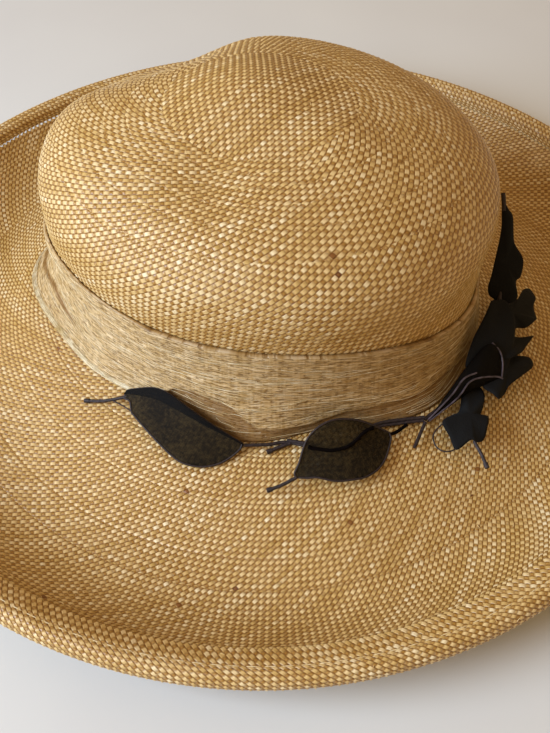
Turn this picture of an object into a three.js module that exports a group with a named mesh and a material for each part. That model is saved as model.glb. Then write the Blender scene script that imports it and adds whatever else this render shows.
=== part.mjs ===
// A wide-brimmed straw hat with a pale band and a spray of dark leaves
// Millimetres, +Z up. The hat stands on the lowest ring of its brim, and the
// origin is the middle of that footprint. -Y is the front, where the spray starts.
import * as THREE from 'three';

// Driving dimensions
const TURNS = 64;                 // steps round the hat
const STRAW = 1.6;                // thickness of the woven straw
const GAP = 0.3;                  // clearance between neighbouring pieces
// Oval foot of the crown: half axes, turn in degrees and centre
const HEAD = { long: 96.5, wide: 85, turn: -12, x: -2, y: 5.25 };
const RIM = { halfX: 203.5, halfY: 197.75 };           // outermost edge of the brim
const HEADLINE_RISE = 16;         // underside of the brim where it meets the crown
const SLOPE_ROUNDING = 0.5;       // how far the brim's fall is rounded, 0 straight and 1 a full wave
const REST = { inner: 50, outer: 41 };              // ring that it stands on, measured in from the rim
const ROLL = { radius: 5, rise: 23, wallIn: 10 };   // rolled edge of the brim
const WALL_CURVE = 1.75;          // how late the brim's edge turns up
const BAND = { height: 46, thick: 1.7, clear: 0.45, flare: 4, drop: 0.14, pleats: 3, pleatDepth: 0.5,
  footCurve: 2.5 };
const STEM = 1.1;                 // radius of a wrapped wire stem
const TWIG = 0.8;                 // radius of a cut side twig
const LEAF = { thick: 0.9, fullness: 0.8, scallop: 0.4, stub: 0.6 };   // stub is its least half width

// Crown from foot to tip: height above the brim, size beside the foot oval, and lean to the side
const CROWN_SECTIONS = [
  { rise: 0, spread: 1.0, lean: 0 },
  { rise: 23.5, spread: 1.0, lean: 0 },
  { rise: 45, spread: 1.01, lean: 0 },
  { rise: 59, spread: 1.035, lean: -0.5 },
  { rise: 71, spread: 1.02, lean: -1.5 },
  { rise: 81, spread: 0.95, lean: -3 },
  { rise: 89, spread: 0.84, lean: -4 },
  { rise: 94.5, spread: 0.69, lean: -4 },
  { rise: 98, spread: 0.52, lean: -4 },
  { rise: 100, spread: 0.34, lean: -4 },
  { rise: 101.2, spread: 0.17, lean: -4 },
  { rise: 101.7, spread: 0, lean: -4 },
];

// Soft peak, dents and lobes of the crown: place in plan, lift and reach,
// and the heights between which they come in
const DENTS_FROM = 45;
const DENTS_FULL = 85;
const CROWN_DENTS = [
  { x: -3, y: 17, lift: 8.5, reach: 29 },
  { x: -58, y: 34, lift: -10, reach: 34 },
  { x: -21, y: -41, lift: -2.7, reach: 17 },
  { x: 28, y: -23.5, lift: 2.7, reach: 17 },
];

// Waves of the upturned edge: direction in degrees, extra rise and spread
const RIM_WAVES = [
  { at: 155, lift: 5, spread: 45 },
  { at: -90, lift: -2, spread: 40 },
];

// Lower edge of the band: where it flares further on to the brim, and where it stands clear
const BAND_WAVES = [
  { at: 196, flare: 8.5, lift: 0, spread: 32 },
  { at: 248, flare: 0, lift: 4.5, spread: 16 },
];

// Leaves, placed from the middle of the head: foot, tip, the side turned to the crown,
// half width and where along the leaf it is widest, sway of the midrib away from the crown,
// bow, fold and lobes along an edge
const LEAVES = [
  { name: 'leaf_left', foot: [-64, -74.5, 20], tip: [-11.3, -99.5, 18.8], side: [-0.36, 0.83, 0.42],
    width: 11, widest: 0.6, sway: 7, bow: 5, fold: 1.2, lobes: 0, kind: 'sheer' },
  { name: 'leaf_centre', foot: [51, -93.8, 18.9], tip: [9.8, -114, 18], side: [-0.35, 0.7, 0.62],
    width: 12, widest: 0.5, sway: 0, bow: 5, fold: 1.5, lobes: 0, kind: 'sheer' },
  { name: 'leaf_folded', foot: [66.7, -86, 19], tip: [101, -58, 29], side: [-0.55, 0.55, 0.6],
    width: 6.5, widest: 0.6, sway: 0, bow: 4, fold: 3.5, lobes: 0, kind: 'sheer' },
  { name: 'leaf_hanging', foot: [88.9, -68.4, 21], tip: [82.5, -102, 17], side: [-0.97, 0.2, 0.1],
    width: 10, widest: 0.7, sway: 0, bow: 0.5, fold: 1, lobes: 2, kind: 'velvet' },
  { name: 'leaf_low', foot: [99.8, -52.6, 24], tip: [106, -79, 17.5], side: [-0.9, -0.2, 0.3],
    width: 9, widest: 0.65, sway: 0, bow: 0.5, fold: 1, lobes: 2, kind: 'velvet' },
  { name: 'leaf_pointed', foot: [102.6, -46.2, 26.1], tip: [122, -40, 19.5], side: [-0.3, 0.95, -0.05],
    width: 10, widest: 0.5, sway: 0, bow: 2, fold: 1.5, lobes: 2, kind: 'velvet' },
  { name: 'leaf_upper', foot: [106, -37, 28.8], tip: [126, -14, 22.5], side: [-0.75, 0.55, 0.15],
    width: 9.5, widest: 0.5, sway: 0, bow: 2, fold: 1.5, lobes: 3, kind: 'velvet' },
  { name: 'leaf_tall', foot: [106.2, -23, 34.2], tip: [111.5, 4, 57], side: [-0.95, 0.1, 0.1],
    width: 8.5, widest: 0.5, sway: 0, bow: 1, fold: 1, lobes: 1, kind: 'velvet' },
];

// Wire stems and cut twigs, each a curve through a few hand-set points
const STEMS = [
  { name: 'stem_left', radius: STEM, path: [[-81.5, -73.5, 14.3], [-73, -75, 16.8], [-64.9, -74.9, 19.5]] },
  { name: 'stem_main', radius: STEM, path: [[-10.5, -100.2, 18.2], [8, -97.5, 17.2], [30, -97, 17],
    [50, -93, 17], [66, -85, 17.2]] },
  { name: 'stem_right', radius: STEM, path: [[66.6, -84.6, 17.2], [87, -67.5, 19.4], [99, -51, 22.5],
    [103, -38, 25.6], [105.8, -23.6, 33.6]] },
  { name: 'twig_centre', radius: TWIG, path: [[7, -99.8, 16.8], [2, -101.4, 16.2], [-3, -103, 15.6]] },
  { name: 'twig_leaf', radius: TWIG, path: [[9.3, -114.5, 17.7], [4, -117.8, 16], [-1.5, -121, 14.2]] },
  { name: 'twig_fork', radius: TWIG, path: [[65.1, -87.6, 16.8], [63, -93, 16.2], [60.5, -100, 15.2]] },
  { name: 'twig_low', radius: TWIG, path: [[82.3, -103, 16.6], [86, -107, 15.6], [90, -111, 14.6]] },
  { name: 'twig_tip', radius: TWIG, path: [[111.55, 4.5, 57.4], [111.4, 8.5, 60.4], [111, 11.5, 62.6]] },
];

// Colours and finishes
const FINISH = {
  straw: { color: 0xc2964e, roughness: 0.5, metalness: 0 },
  band: { color: 0xdcc592, roughness: 0.6, metalness: 0 },
  sheer: { color: 0x262219, roughness: 0.6, metalness: 0 },
  velvet: { color: 0x101214, roughness: 0.9, metalness: 0 },
  wire: { color: 0x33252c, roughness: 0.7, metalness: 0 },
};
const material = (kind) => new THREE.MeshStandardMaterial(FINISH[kind]);

const lerp = THREE.MathUtils.lerp;
const rad = THREE.MathUtils.degToRad;

// Radius of an oval in one direction, and of the head's oval grown by some millimetres
function ovalRadius(halfLong, halfWide, angle, turn = 0) {
  const c = Math.cos(angle - turn);
  const s = Math.sin(angle - turn);
  return (halfLong * halfWide) / Math.hypot(halfWide * c, halfLong * s);
}
const headRadius = (angle, grow = 0) =>
  ovalRadius(HEAD.long + grow, HEAD.wide + grow, angle, rad(HEAD.turn));
const rimRadius = (angle) => ovalRadius(RIM.halfX, RIM.halfY, angle);

// Smooth hump of height 1 round a direction, both in degrees
function hump(angle, at, spread) {
  const away = THREE.MathUtils.euclideanModulo(THREE.MathUtils.radToDeg(angle) - at + 180, 360) - 180;
  return Math.exp(-((away / spread) ** 2));
}

// A closed solid from vertices and triangles, turned to face out
function solid(points, triangles) {
  const volume = triangles.reduce((sum, [a, b, c]) =>
    sum + points[a].dot(new THREE.Vector3().crossVectors(points[b], points[c])), 0);
  const index = triangles.flatMap(([a, b, c]) => (volume > 0 ? [a, b, c] : [a, c, b]));
  const geometry = new THREE.BufferGeometry().setFromPoints(points);
  geometry.setIndex(index);
  geometry.computeVertexNormals();
  return geometry;
}

// Two triangles for each cell between neighbouring rows of points
function weaveRows(rows, columns, closedRows, closedColumns) {
  const triangles = [];
  for (let i = 0; i < (closedRows ? rows : rows - 1); i += 1) {
    for (let j = 0; j < (closedColumns ? columns : columns - 1); j += 1) {
      const next = (i + 1) % rows;
      const beside = (j + 1) % columns;
      triangles.push([i * columns + j, next * columns + j, next * columns + beside]);
      triangles.push([i * columns + j, next * columns + beside, i * columns + beside]);
    }
  }
  return triangles;
}

// A ring whose section, a closed outline of points, changes with the direction
function ringSolid(sectionAt) {
  const rows = [];
  for (let i = 0; i < TURNS; i += 1) rows.push(sectionAt((i / TURNS) * 2 * Math.PI));
  return solid(rows.flat(), weaveRows(TURNS, rows[0].length, true, true));
}

function polar(radius, angle, z) {
  return new THREE.Vector3(radius * Math.cos(angle), radius * Math.sin(angle), z);
}

// Brim: height of its underside between the headline and the rolled edge
const SLOPE_STEPS = 5;
const WALL_STEPS = 4;
const ROLL_STEPS = 8;
const ROLL_FROM = -50;            // degrees round the roll's section where the wall runs into it
const ROLL_TO = 215;              // and where the folded hem comes back to the wall
const rimLift = (angle) => RIM_WAVES.reduce((sum, w) => sum + w.lift * hump(angle, w.at, w.spread), 0);

function slopeRise(share) {
  const straight = 1 - share;
  const rounded = (1 + Math.cos(Math.PI * share)) / 2;
  return HEADLINE_RISE * lerp(straight, rounded, SLOPE_ROUNDING);
}

// Section points are { back, z }: how far they lie in from the rim towards the head oval
function brimSection(angle) {
  const rim = polar(rimRadius(angle), angle, 0);
  const headCentre = new THREE.Vector3(HEAD.x, HEAD.y, 0);
  const inward = polar(headRadius(angle, -STRAW), angle, 0).add(headCentre).sub(rim);
  const reach = inward.length();
  inward.normalize();
  const rollRise = ROLL.rise + rimLift(angle);
  const under = [];
  for (let i = 0; i < SLOPE_STEPS; i += 1) {
    const share = i / SLOPE_STEPS;
    under.push({ back: lerp(reach, REST.inner, share), z: slopeRise(share) });
  }
  under.push({ back: REST.inner, z: 0 });
  const wallTop = rollRise - ROLL.radius - STRAW;
  for (let i = 0; i <= WALL_STEPS; i += 1) {
    const share = i / WALL_STEPS;
    under.push({ back: lerp(REST.outer, ROLL.wallIn, share), z: wallTop * share ** WALL_CURVE });
  }
  const over = under.map(({ back, z }, i) => {
    const before = under[Math.max(i - 1, 0)];
    const after = under[Math.min(i + 1, under.length - 1)];
    const out = before.back - after.back;
    const climb = after.z - before.z;
    const run = Math.hypot(out, climb);
    return { back: i === 0 ? back : back + (STRAW * climb) / run, z: z + (STRAW * out) / run };
  });
  const edge = [];
  for (let i = 0; i <= ROLL_STEPS; i += 1) {
    const turn = rad(lerp(ROLL_FROM, ROLL_TO, i / ROLL_STEPS));
    edge.push({
      back: ROLL.radius * (1 - Math.cos(turn)),
      z: rollRise + ROLL.radius * Math.sin(turn),
    });
  }
  return [...under, ...edge, ...over.reverse()].map(({ back, z }) =>
    rim.clone().addScaledVector(inward, back).setZ(z));
}

// Crown: outer face at a place along its side, from 0 at the foot to 1 at the tip
const CROWN_FOOT = HEADLINE_RISE + STRAW + GAP;
const spreadCurve = new THREE.CatmullRomCurve3(
  CROWN_SECTIONS.map(({ rise, spread, lean }) => new THREE.Vector3(spread, lean, rise)));

function crownPoint(angle, step, inset) {
  const { x: spread, y: lean, z: rise } = spreadCurve.getPoint(step);
  const out = spreadCurve.getTangent(step);
  const steep = Math.hypot(out.x * HEAD.long, out.z);
  const radius = spread * headRadius(angle) - (inset * out.z) / steep;
  const height = rise + (inset * out.x * HEAD.long) / steep;
  const x = lean + Math.max(radius, 0) * Math.cos(angle);
  const y = Math.max(radius, 0) * Math.sin(angle);
  const dent = CROWN_DENTS.reduce((sum, d) =>
    sum + d.lift * Math.exp(-((x - d.x) ** 2 + (y - d.y) ** 2) / d.reach ** 2), 0);
  const soft = THREE.MathUtils.smoothstep(height, DENTS_FROM, DENTS_FULL);
  return new THREE.Vector3(x, y, CROWN_FOOT + height + dent * soft);
}

// Place along the crown's side where it reaches a height, by halving
const HALVINGS = 30;

function sideStep(rise) {
  let low = 0;
  let high = 1;
  for (let i = 0; i < HALVINGS; i += 1) {
    const middle = (low + high) / 2;
    if (spreadCurve.getPoint(middle).z < rise) low = middle;
    else high = middle;
  }
  return low;
}

function crownSolid() {
  const rows = CROWN_SECTIONS.length - 1;
  const points = [];
  for (const inset of [0, STRAW]) {
    for (let j = 0; j < rows; j += 1) {
      for (let i = 0; i < TURNS; i += 1) {
        points.push(crownPoint((i / TURNS) * 2 * Math.PI, j / rows, inset));
      }
    }
  }
  const shell = rows * TURNS;
  const outer = weaveRows(rows, TURNS, false, true);
  const inner = outer.map(([a, b, c]) => [a + shell, c + shell, b + shell]);
  const tips = [0, STRAW].map((inset) => points.push(crownPoint(0, 1, inset)) - 1);
  const closing = [];
  for (let i = 0; i < TURNS; i += 1) {
    const next = (i + 1) % TURNS;
    const top = shell - TURNS;
    closing.push([top + i, tips[0], top + next]);
    closing.push([shell + top + i, shell + top + next, tips[1]]);
    closing.push([i, next, shell + next], [i, shell + next, shell + i]);
  }
  return solid(points, [...outer, ...inner, ...closing]);
}

// Band: a wall round the crown with soft pleats, whose foot flares on to the brim
const BAND_STEPS = 6;

function bandSection(angle) {
  const flare = BAND_WAVES.reduce((sum, w) => sum + w.flare * hump(angle, w.at, w.spread), BAND.flare);
  const lift = BAND_WAVES.reduce((sum, w) => sum + w.lift * hump(angle, w.at, w.spread), 0);
  const inside = [];
  const outside = [];
  for (let i = 0; i <= BAND_STEPS; i += 1) {
    const share = i / BAND_STEPS;
    const z = lerp(CROWN_FOOT + lift - BAND.drop * flare, CROWN_FOOT + BAND.height, share);
    const crownSide = spreadCurve.getPoint(sideStep(z - CROWN_FOOT)).x;
    const foot = (1 - share) ** BAND.footCurve;
    const pleat = BAND.pleatDepth * Math.sin(share * BAND.pleats * Math.PI) ** 2;
    const inner = crownSide * headRadius(angle) + BAND.clear + flare * foot;
    inside.push(polar(inner, angle, z));
    outside.push(polar(inner + BAND.thick + pleat, angle, z));
  }
  return [...outside, ...inside.reverse()];
}

// Leaf: a thin plate from foot to tip, bowed along its length and folded along its midrib
const LEAF_LONG = 10;
const LEAF_ACROSS = 4;

function leafSolid({ foot, tip, side, width, widest, sway, bow, fold, lobes }) {
  const start = new THREE.Vector3(...foot);
  const along = new THREE.Vector3(...tip).sub(start);
  const normal = new THREE.Vector3().crossVectors(along, new THREE.Vector3(...side)).normalize();
  if (normal.z < 0) normal.negate();
  const across = new THREE.Vector3().crossVectors(normal, along).normalize();
  if (across.dot(new THREE.Vector3(...side)) < 0) across.negate();
  const skew = Math.log(1 / 2) / Math.log(widest);
  const points = [];
  for (const half of [LEAF.thick / 2, -LEAF.thick / 2]) {
    for (let i = 0; i <= LEAF_LONG; i += 1) {
      const u = i / LEAF_LONG;
      const scallop = lobes ? 1 - LEAF.scallop * Math.cos(u * lobes * 2 * Math.PI) ** 2 : 1;
      const arch = Math.sin(Math.PI * u ** skew);
      const reach = Math.max(width * arch ** LEAF.fullness * scallop, LEAF.stub);
      for (let j = 0; j <= LEAF_ACROSS; j += 1) {
        const v = (2 * j) / LEAF_ACROSS - 1;
        const height = half + bow * arch + fold * v * v * (reach / width);
        points.push(start.clone().addScaledVector(along, u)
          .addScaledVector(across, v * reach - sway * arch).addScaledVector(normal, height));
      }
    }
  }
  const columns = LEAF_ACROSS + 1;
  const rows = LEAF_LONG + 1;
  const face = rows * columns;
  const top = weaveRows(rows, columns, false, false);
  const bottom = top.map(([a, b, c]) => [a + face, c + face, b + face]);
  const edge = [];
  for (let j = 0; j < LEAF_ACROSS; j += 1) edge.push(j);
  for (let i = 0; i < LEAF_LONG; i += 1) edge.push(i * columns + LEAF_ACROSS);
  for (let j = LEAF_ACROSS; j > 0; j -= 1) edge.push(LEAF_LONG * columns + j);
  for (let i = LEAF_LONG; i > 0; i -= 1) edge.push(i * columns);
  const rimFaces = edge.flatMap((a, i) => {
    const b = edge[(i + 1) % edge.length];
    return [[a, b, b + face], [a, b + face, a + face]];
  });
  return solid(points, [...top, ...bottom, ...rimFaces]);
}

// Stem: a round wire along a smooth curve
const STEM_SIDES = 8;
const STEPS_PER_POINT = 3;

function stemSolid({ path, radius }) {
  const curve = new THREE.CatmullRomCurve3(path.map((p) => new THREE.Vector3(...p)));
  const round = new THREE.Shape();
  for (let i = 0; i < STEM_SIDES; i += 1) {
    const turn = (i / STEM_SIDES) * 2 * Math.PI;
    const place = [radius * Math.cos(turn), radius * Math.sin(turn)];
    if (i === 0) round.moveTo(...place);
    else round.lineTo(...place);
  }
  round.closePath();
  const steps = STEPS_PER_POINT * path.length;
  return new THREE.ExtrudeGeometry(round, { steps, extrudePath: curve, bevelEnabled: false });
}

function piece(name, geometry, kind) {
  const mesh = new THREE.Mesh(geometry, material(kind));
  mesh.name = name;
  return mesh;
}

const onHead = new THREE.Group();
onHead.position.set(HEAD.x, HEAD.y, 0);
onHead.add(piece('crown', crownSolid(), 'straw'));
onHead.add(piece('hat_band', ringSolid(bandSection), 'band'));
LEAVES.forEach((leaf) => onHead.add(piece(leaf.name, leafSolid(leaf), leaf.kind)));
STEMS.forEach((stem) => onHead.add(piece(stem.name, stemSolid(stem), 'wire')));

const hat = new THREE.Group();
hat.add(piece('brim', ringSolid(brimSection), 'straw'));
hat.add(onHead);

export default hat;
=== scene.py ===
# %% [markdown]
# A wide-brimmed straw hat, dressed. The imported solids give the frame: most pieces below stand for one of
# them, keep to its place and size within some millimetres, and ride on the hat's one body. Thin wires,
# loose fibres and stitches are added to them. Lengths are written in millimetres, as a hatter would say
# them, and turned to metres when a mesh is made.

# %% Frame
import math
import bpy
import numpy as np
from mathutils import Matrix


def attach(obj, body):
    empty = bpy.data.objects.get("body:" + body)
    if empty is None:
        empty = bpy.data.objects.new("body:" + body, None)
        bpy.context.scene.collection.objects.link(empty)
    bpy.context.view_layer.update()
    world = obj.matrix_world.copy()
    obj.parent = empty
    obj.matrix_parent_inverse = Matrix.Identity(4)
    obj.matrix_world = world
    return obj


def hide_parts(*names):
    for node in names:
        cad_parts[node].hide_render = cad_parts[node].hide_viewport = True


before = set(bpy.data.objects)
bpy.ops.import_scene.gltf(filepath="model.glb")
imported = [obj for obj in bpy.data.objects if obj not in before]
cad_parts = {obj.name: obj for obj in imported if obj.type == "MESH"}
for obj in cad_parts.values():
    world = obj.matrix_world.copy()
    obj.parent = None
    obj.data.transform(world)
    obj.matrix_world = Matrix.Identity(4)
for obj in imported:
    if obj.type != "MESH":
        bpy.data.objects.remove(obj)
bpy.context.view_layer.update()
BODY = "root"
MM = 0.001
rng = np.random.default_rng(1897)
print("nodes in the frame:", len(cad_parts))

# %% [markdown]
# The camera stands where the photographer stood: above the front of the hat, looking down at 50 degrees.
# Its place, in metres, came from fitting the ovals of the brim, the band and the crown. A camera in
# Blender looks along its own -Z, so turning it 40 degrees about X points it 50 degrees down.

# %% Camera
IMAGE_HEIGHT = 733
FOCAL_PIXELS = 900
SENSOR = 36.0
CAMERA_PLACE = (0.0, -0.31115, 0.3289)
LOOK_DOWN = 50.0
NEAR_CLIP = 0.01

camera_data = bpy.data.cameras.new("photo_view")
camera_data.sensor_width = SENSOR
camera_data.lens = SENSOR * FOCAL_PIXELS / IMAGE_HEIGHT
camera_data.clip_start = NEAR_CLIP
camera = bpy.data.objects.new("photo_view", camera_data)
camera.location = CAMERA_PLACE
camera.rotation_euler = (math.radians(90 - LOOK_DOWN), 0, 0)
bpy.context.collection.objects.link(camera)
bpy.context.scene.camera = camera
print("lens:", round(camera_data.lens, 2), "mm")

# %% [markdown]
# Small tools. Colours are written as sRGB hex and turned to linear light by one function. One function
# adds a node, sets it and links it, for shaders and geometry alike. One makes a mesh from arrays, one
# lets a Geometry Nodes tree grow a mesh from another and keeps only the plain result, and one fixes a
# finished piece to the hat's body.

# %% Colour and node tools
def linear(hex_colour):
    """sRGB hex to linear RGBA."""
    parts = [int(hex_colour[i:i + 2], 16) / 255 for i in (1, 3, 5)]
    return tuple(c / 12.92 if c <= 0.04045 else ((c + 0.055) / 1.055) ** 2.4 for c in parts) + (1.0,)


def add(tree, kind, inputs=None, **settings):
    """Adds a node. Inputs are socket values, or the sockets or nodes that feed them."""
    node = tree.nodes.new(kind)
    for name, value in settings.items():
        setattr(node, name, value)
    for name, value in (inputs or {}).items():
        if isinstance(value, bpy.types.Node):
            value = value.outputs[0]
        if isinstance(value, bpy.types.NodeSocket):
            tree.links.new(value, node.inputs[name])
        else:
            node.inputs[name].default_value = value
    return node


def ramp(tree, factor, stops):
    """A colour ramp from (place, hex colour) stops."""
    node = add(tree, "ShaderNodeValToRGB", {0: factor})
    elements = node.color_ramp.elements
    while len(elements) < len(stops):
        elements.new(0.5)
    for element, (place, colour) in zip(elements, stops):
        element.position = place
        element.color = linear(colour)
    return node


# %% Mesh tools
def make_mesh(name, points, faces, edges=(), **attributes):
    """A mesh from millimetre points, with named vector attributes on its points."""
    mesh = bpy.data.meshes.new(name)
    mesh.from_pydata((np.asarray(points) * MM).tolist(), list(edges), faces)
    mesh.polygons.foreach_set("use_smooth", np.ones(len(mesh.polygons), dtype=bool))
    for label, values in attributes.items():
        layer = mesh.attributes.new(label, "FLOAT_VECTOR", "POINT")
        layer.data.foreach_set("vector", np.asarray(values, dtype=np.float32).ravel())
    mesh.update()
    return mesh


def place(name, mesh, material=None):
    """Links a mesh to the scene as a piece at the origin."""
    piece = bpy.data.objects.new(name, mesh)
    bpy.context.collection.objects.link(piece)
    if material:
        mesh.materials.clear()
        mesh.materials.append(material)
    return piece


def grow(name, source, tree, **sizes):
    """Runs a Geometry Nodes tree on a mesh and keeps the result as a plain mesh piece."""
    seed = place(name + "_seed", source)
    modifier = seed.modifiers.new("grow", "NODES")
    modifier.node_group = tree
    for socket in tree.interface.items_tree:
        label = socket.name.lower().replace(" ", "_")
        if socket.in_out == "INPUT" and label in sizes:
            modifier[socket.identifier] = sizes[label]
    evaluated = seed.evaluated_get(bpy.context.evaluated_depsgraph_get())
    mesh = bpy.data.meshes.new_from_object(evaluated)
    seed.modifiers.remove(modifier)
    bpy.data.objects.remove(seed)
    mesh.name = name
    return place(name, mesh)


# %% Tree tools
def new_tree(name, **sockets):
    """An empty geometry tree with named inputs; a value's type gives its socket's type."""
    tree = bpy.data.node_groups.new(name, "GeometryNodeTree")
    kinds = {float: "NodeSocketFloat", int: "NodeSocketInt"}
    tree.interface.new_socket("Geometry", in_out="INPUT", socket_type="NodeSocketGeometry")
    for label, value in sockets.items():
        kind = kinds.get(type(value), "NodeSocketMaterial")
        title = label.replace("_", " ").capitalize()
        socket = tree.interface.new_socket(title, in_out="INPUT", socket_type=kind)
        if value is not None:
            socket.default_value = value
    tree.interface.new_socket("Geometry", in_out="OUTPUT", socket_type="NodeSocketGeometry")
    return tree, add(tree, "NodeGroupInput"), add(tree, "NodeGroupOutput")


def finish_tree(tree, geometry, material, output):
    """Real geometry with its material, as the end of every tree."""
    real = add(tree, "GeometryNodeRealizeInstances", {0: geometry})
    coloured = add(tree, "GeometryNodeSetMaterial", {0: real, "Material": material})
    tree.links.new(coloured.outputs[0], output.inputs[0])


def new_material(name):
    """A new material, and its empty tree."""
    material = bpy.data.materials.new(name)
    material.use_nodes = True
    tree = material.node_tree
    tree.nodes.clear()
    return material, tree


def finish_material(tree, inputs):
    """The one shader at the end of a material, with its inputs set or linked."""
    shader = add(tree, "ShaderNodeBsdfPrincipled", inputs)
    add(tree, "ShaderNodeOutputMaterial", {0: shader})


def fit(piece, node=None):
    """Fixes a finished piece to the hat's one body and the solid it stands for."""
    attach(piece, BODY)
    if node:
        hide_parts(node)
    triangles = sum(len(polygon.vertices) - 2 for polygon in piece.data.polygons)
    print(piece.name, "has", triangles, "triangles")


# %% [markdown]
# Woven straw. The body of such a hat is woven in the round: two families of flat, silky straws run
# slantwise down from the tip of the crown, over and under each other by turns. One family is broad and
# stays in sight; the other shows as narrower floats that cross over it, tinted darker, partly as painted
# shade for the gloss that lights the broad family alone. The mesh carries its place in the weave as an
# attribute, counted in straws. From it the shader knows which straw is on top and how far along and
# across it a point lies, and gives each float its own tint, gloss and rounding, with painted shade in the
# gaps between floats. A picture of straw could be laid on instead, but it would stretch over the crown.
# Straw is cellulose with a waxy skin: IOR near 1.5, roughness about 0.35, pale gold with a few brown ends.

# %% Straw values
STRAW_RAMP = [(0.0, "#CCA963"), (0.35, "#DBBA78"), (0.7, "#E8CC91"), (1.0, "#F4E3B8")]
UNDER_SHADE_TINT = "#D2BC94"
BROWN_FLOAT = "#8A5A2A"
BROWN_SHARE = 0.0006
STRAW_EDGE = {"flat": 0.34, "end": 0.5}
UNDER_EDGE = {"flat": 0.2, "end": 0.34}
UNDER_HEIGHT = 0.7
FLOAT_RELIEF = 0.00045
FLOAT_TILT = 0.7
FLOAT_BUMP = 0.8
FLOAT_TOP = {"From Min": 0.1, "From Max": 0.7}
# Painted shade for the gaps between floats, warm as light bounced in the weave
GAP_SHADE_COLOUR = "#B4986C"
STRAW_TONE = 0.6
FIBRE_STRETCH = (2.0, 14.0, 40.0)
FIBRE_RELIEF = 0.18
PATCHES_PER_METRE = 14.0
PATCHY_TONE = {"From Min": 0.3, "From Max": 0.7, "To Min": 0.85, "To Max": 1.05}
STRAW_ROUGHNESS = {"To Min": 0.28, "To Max": 0.45}
FIBRE_IOR = 1.5
WHITE = "#FFFFFF"


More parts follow.
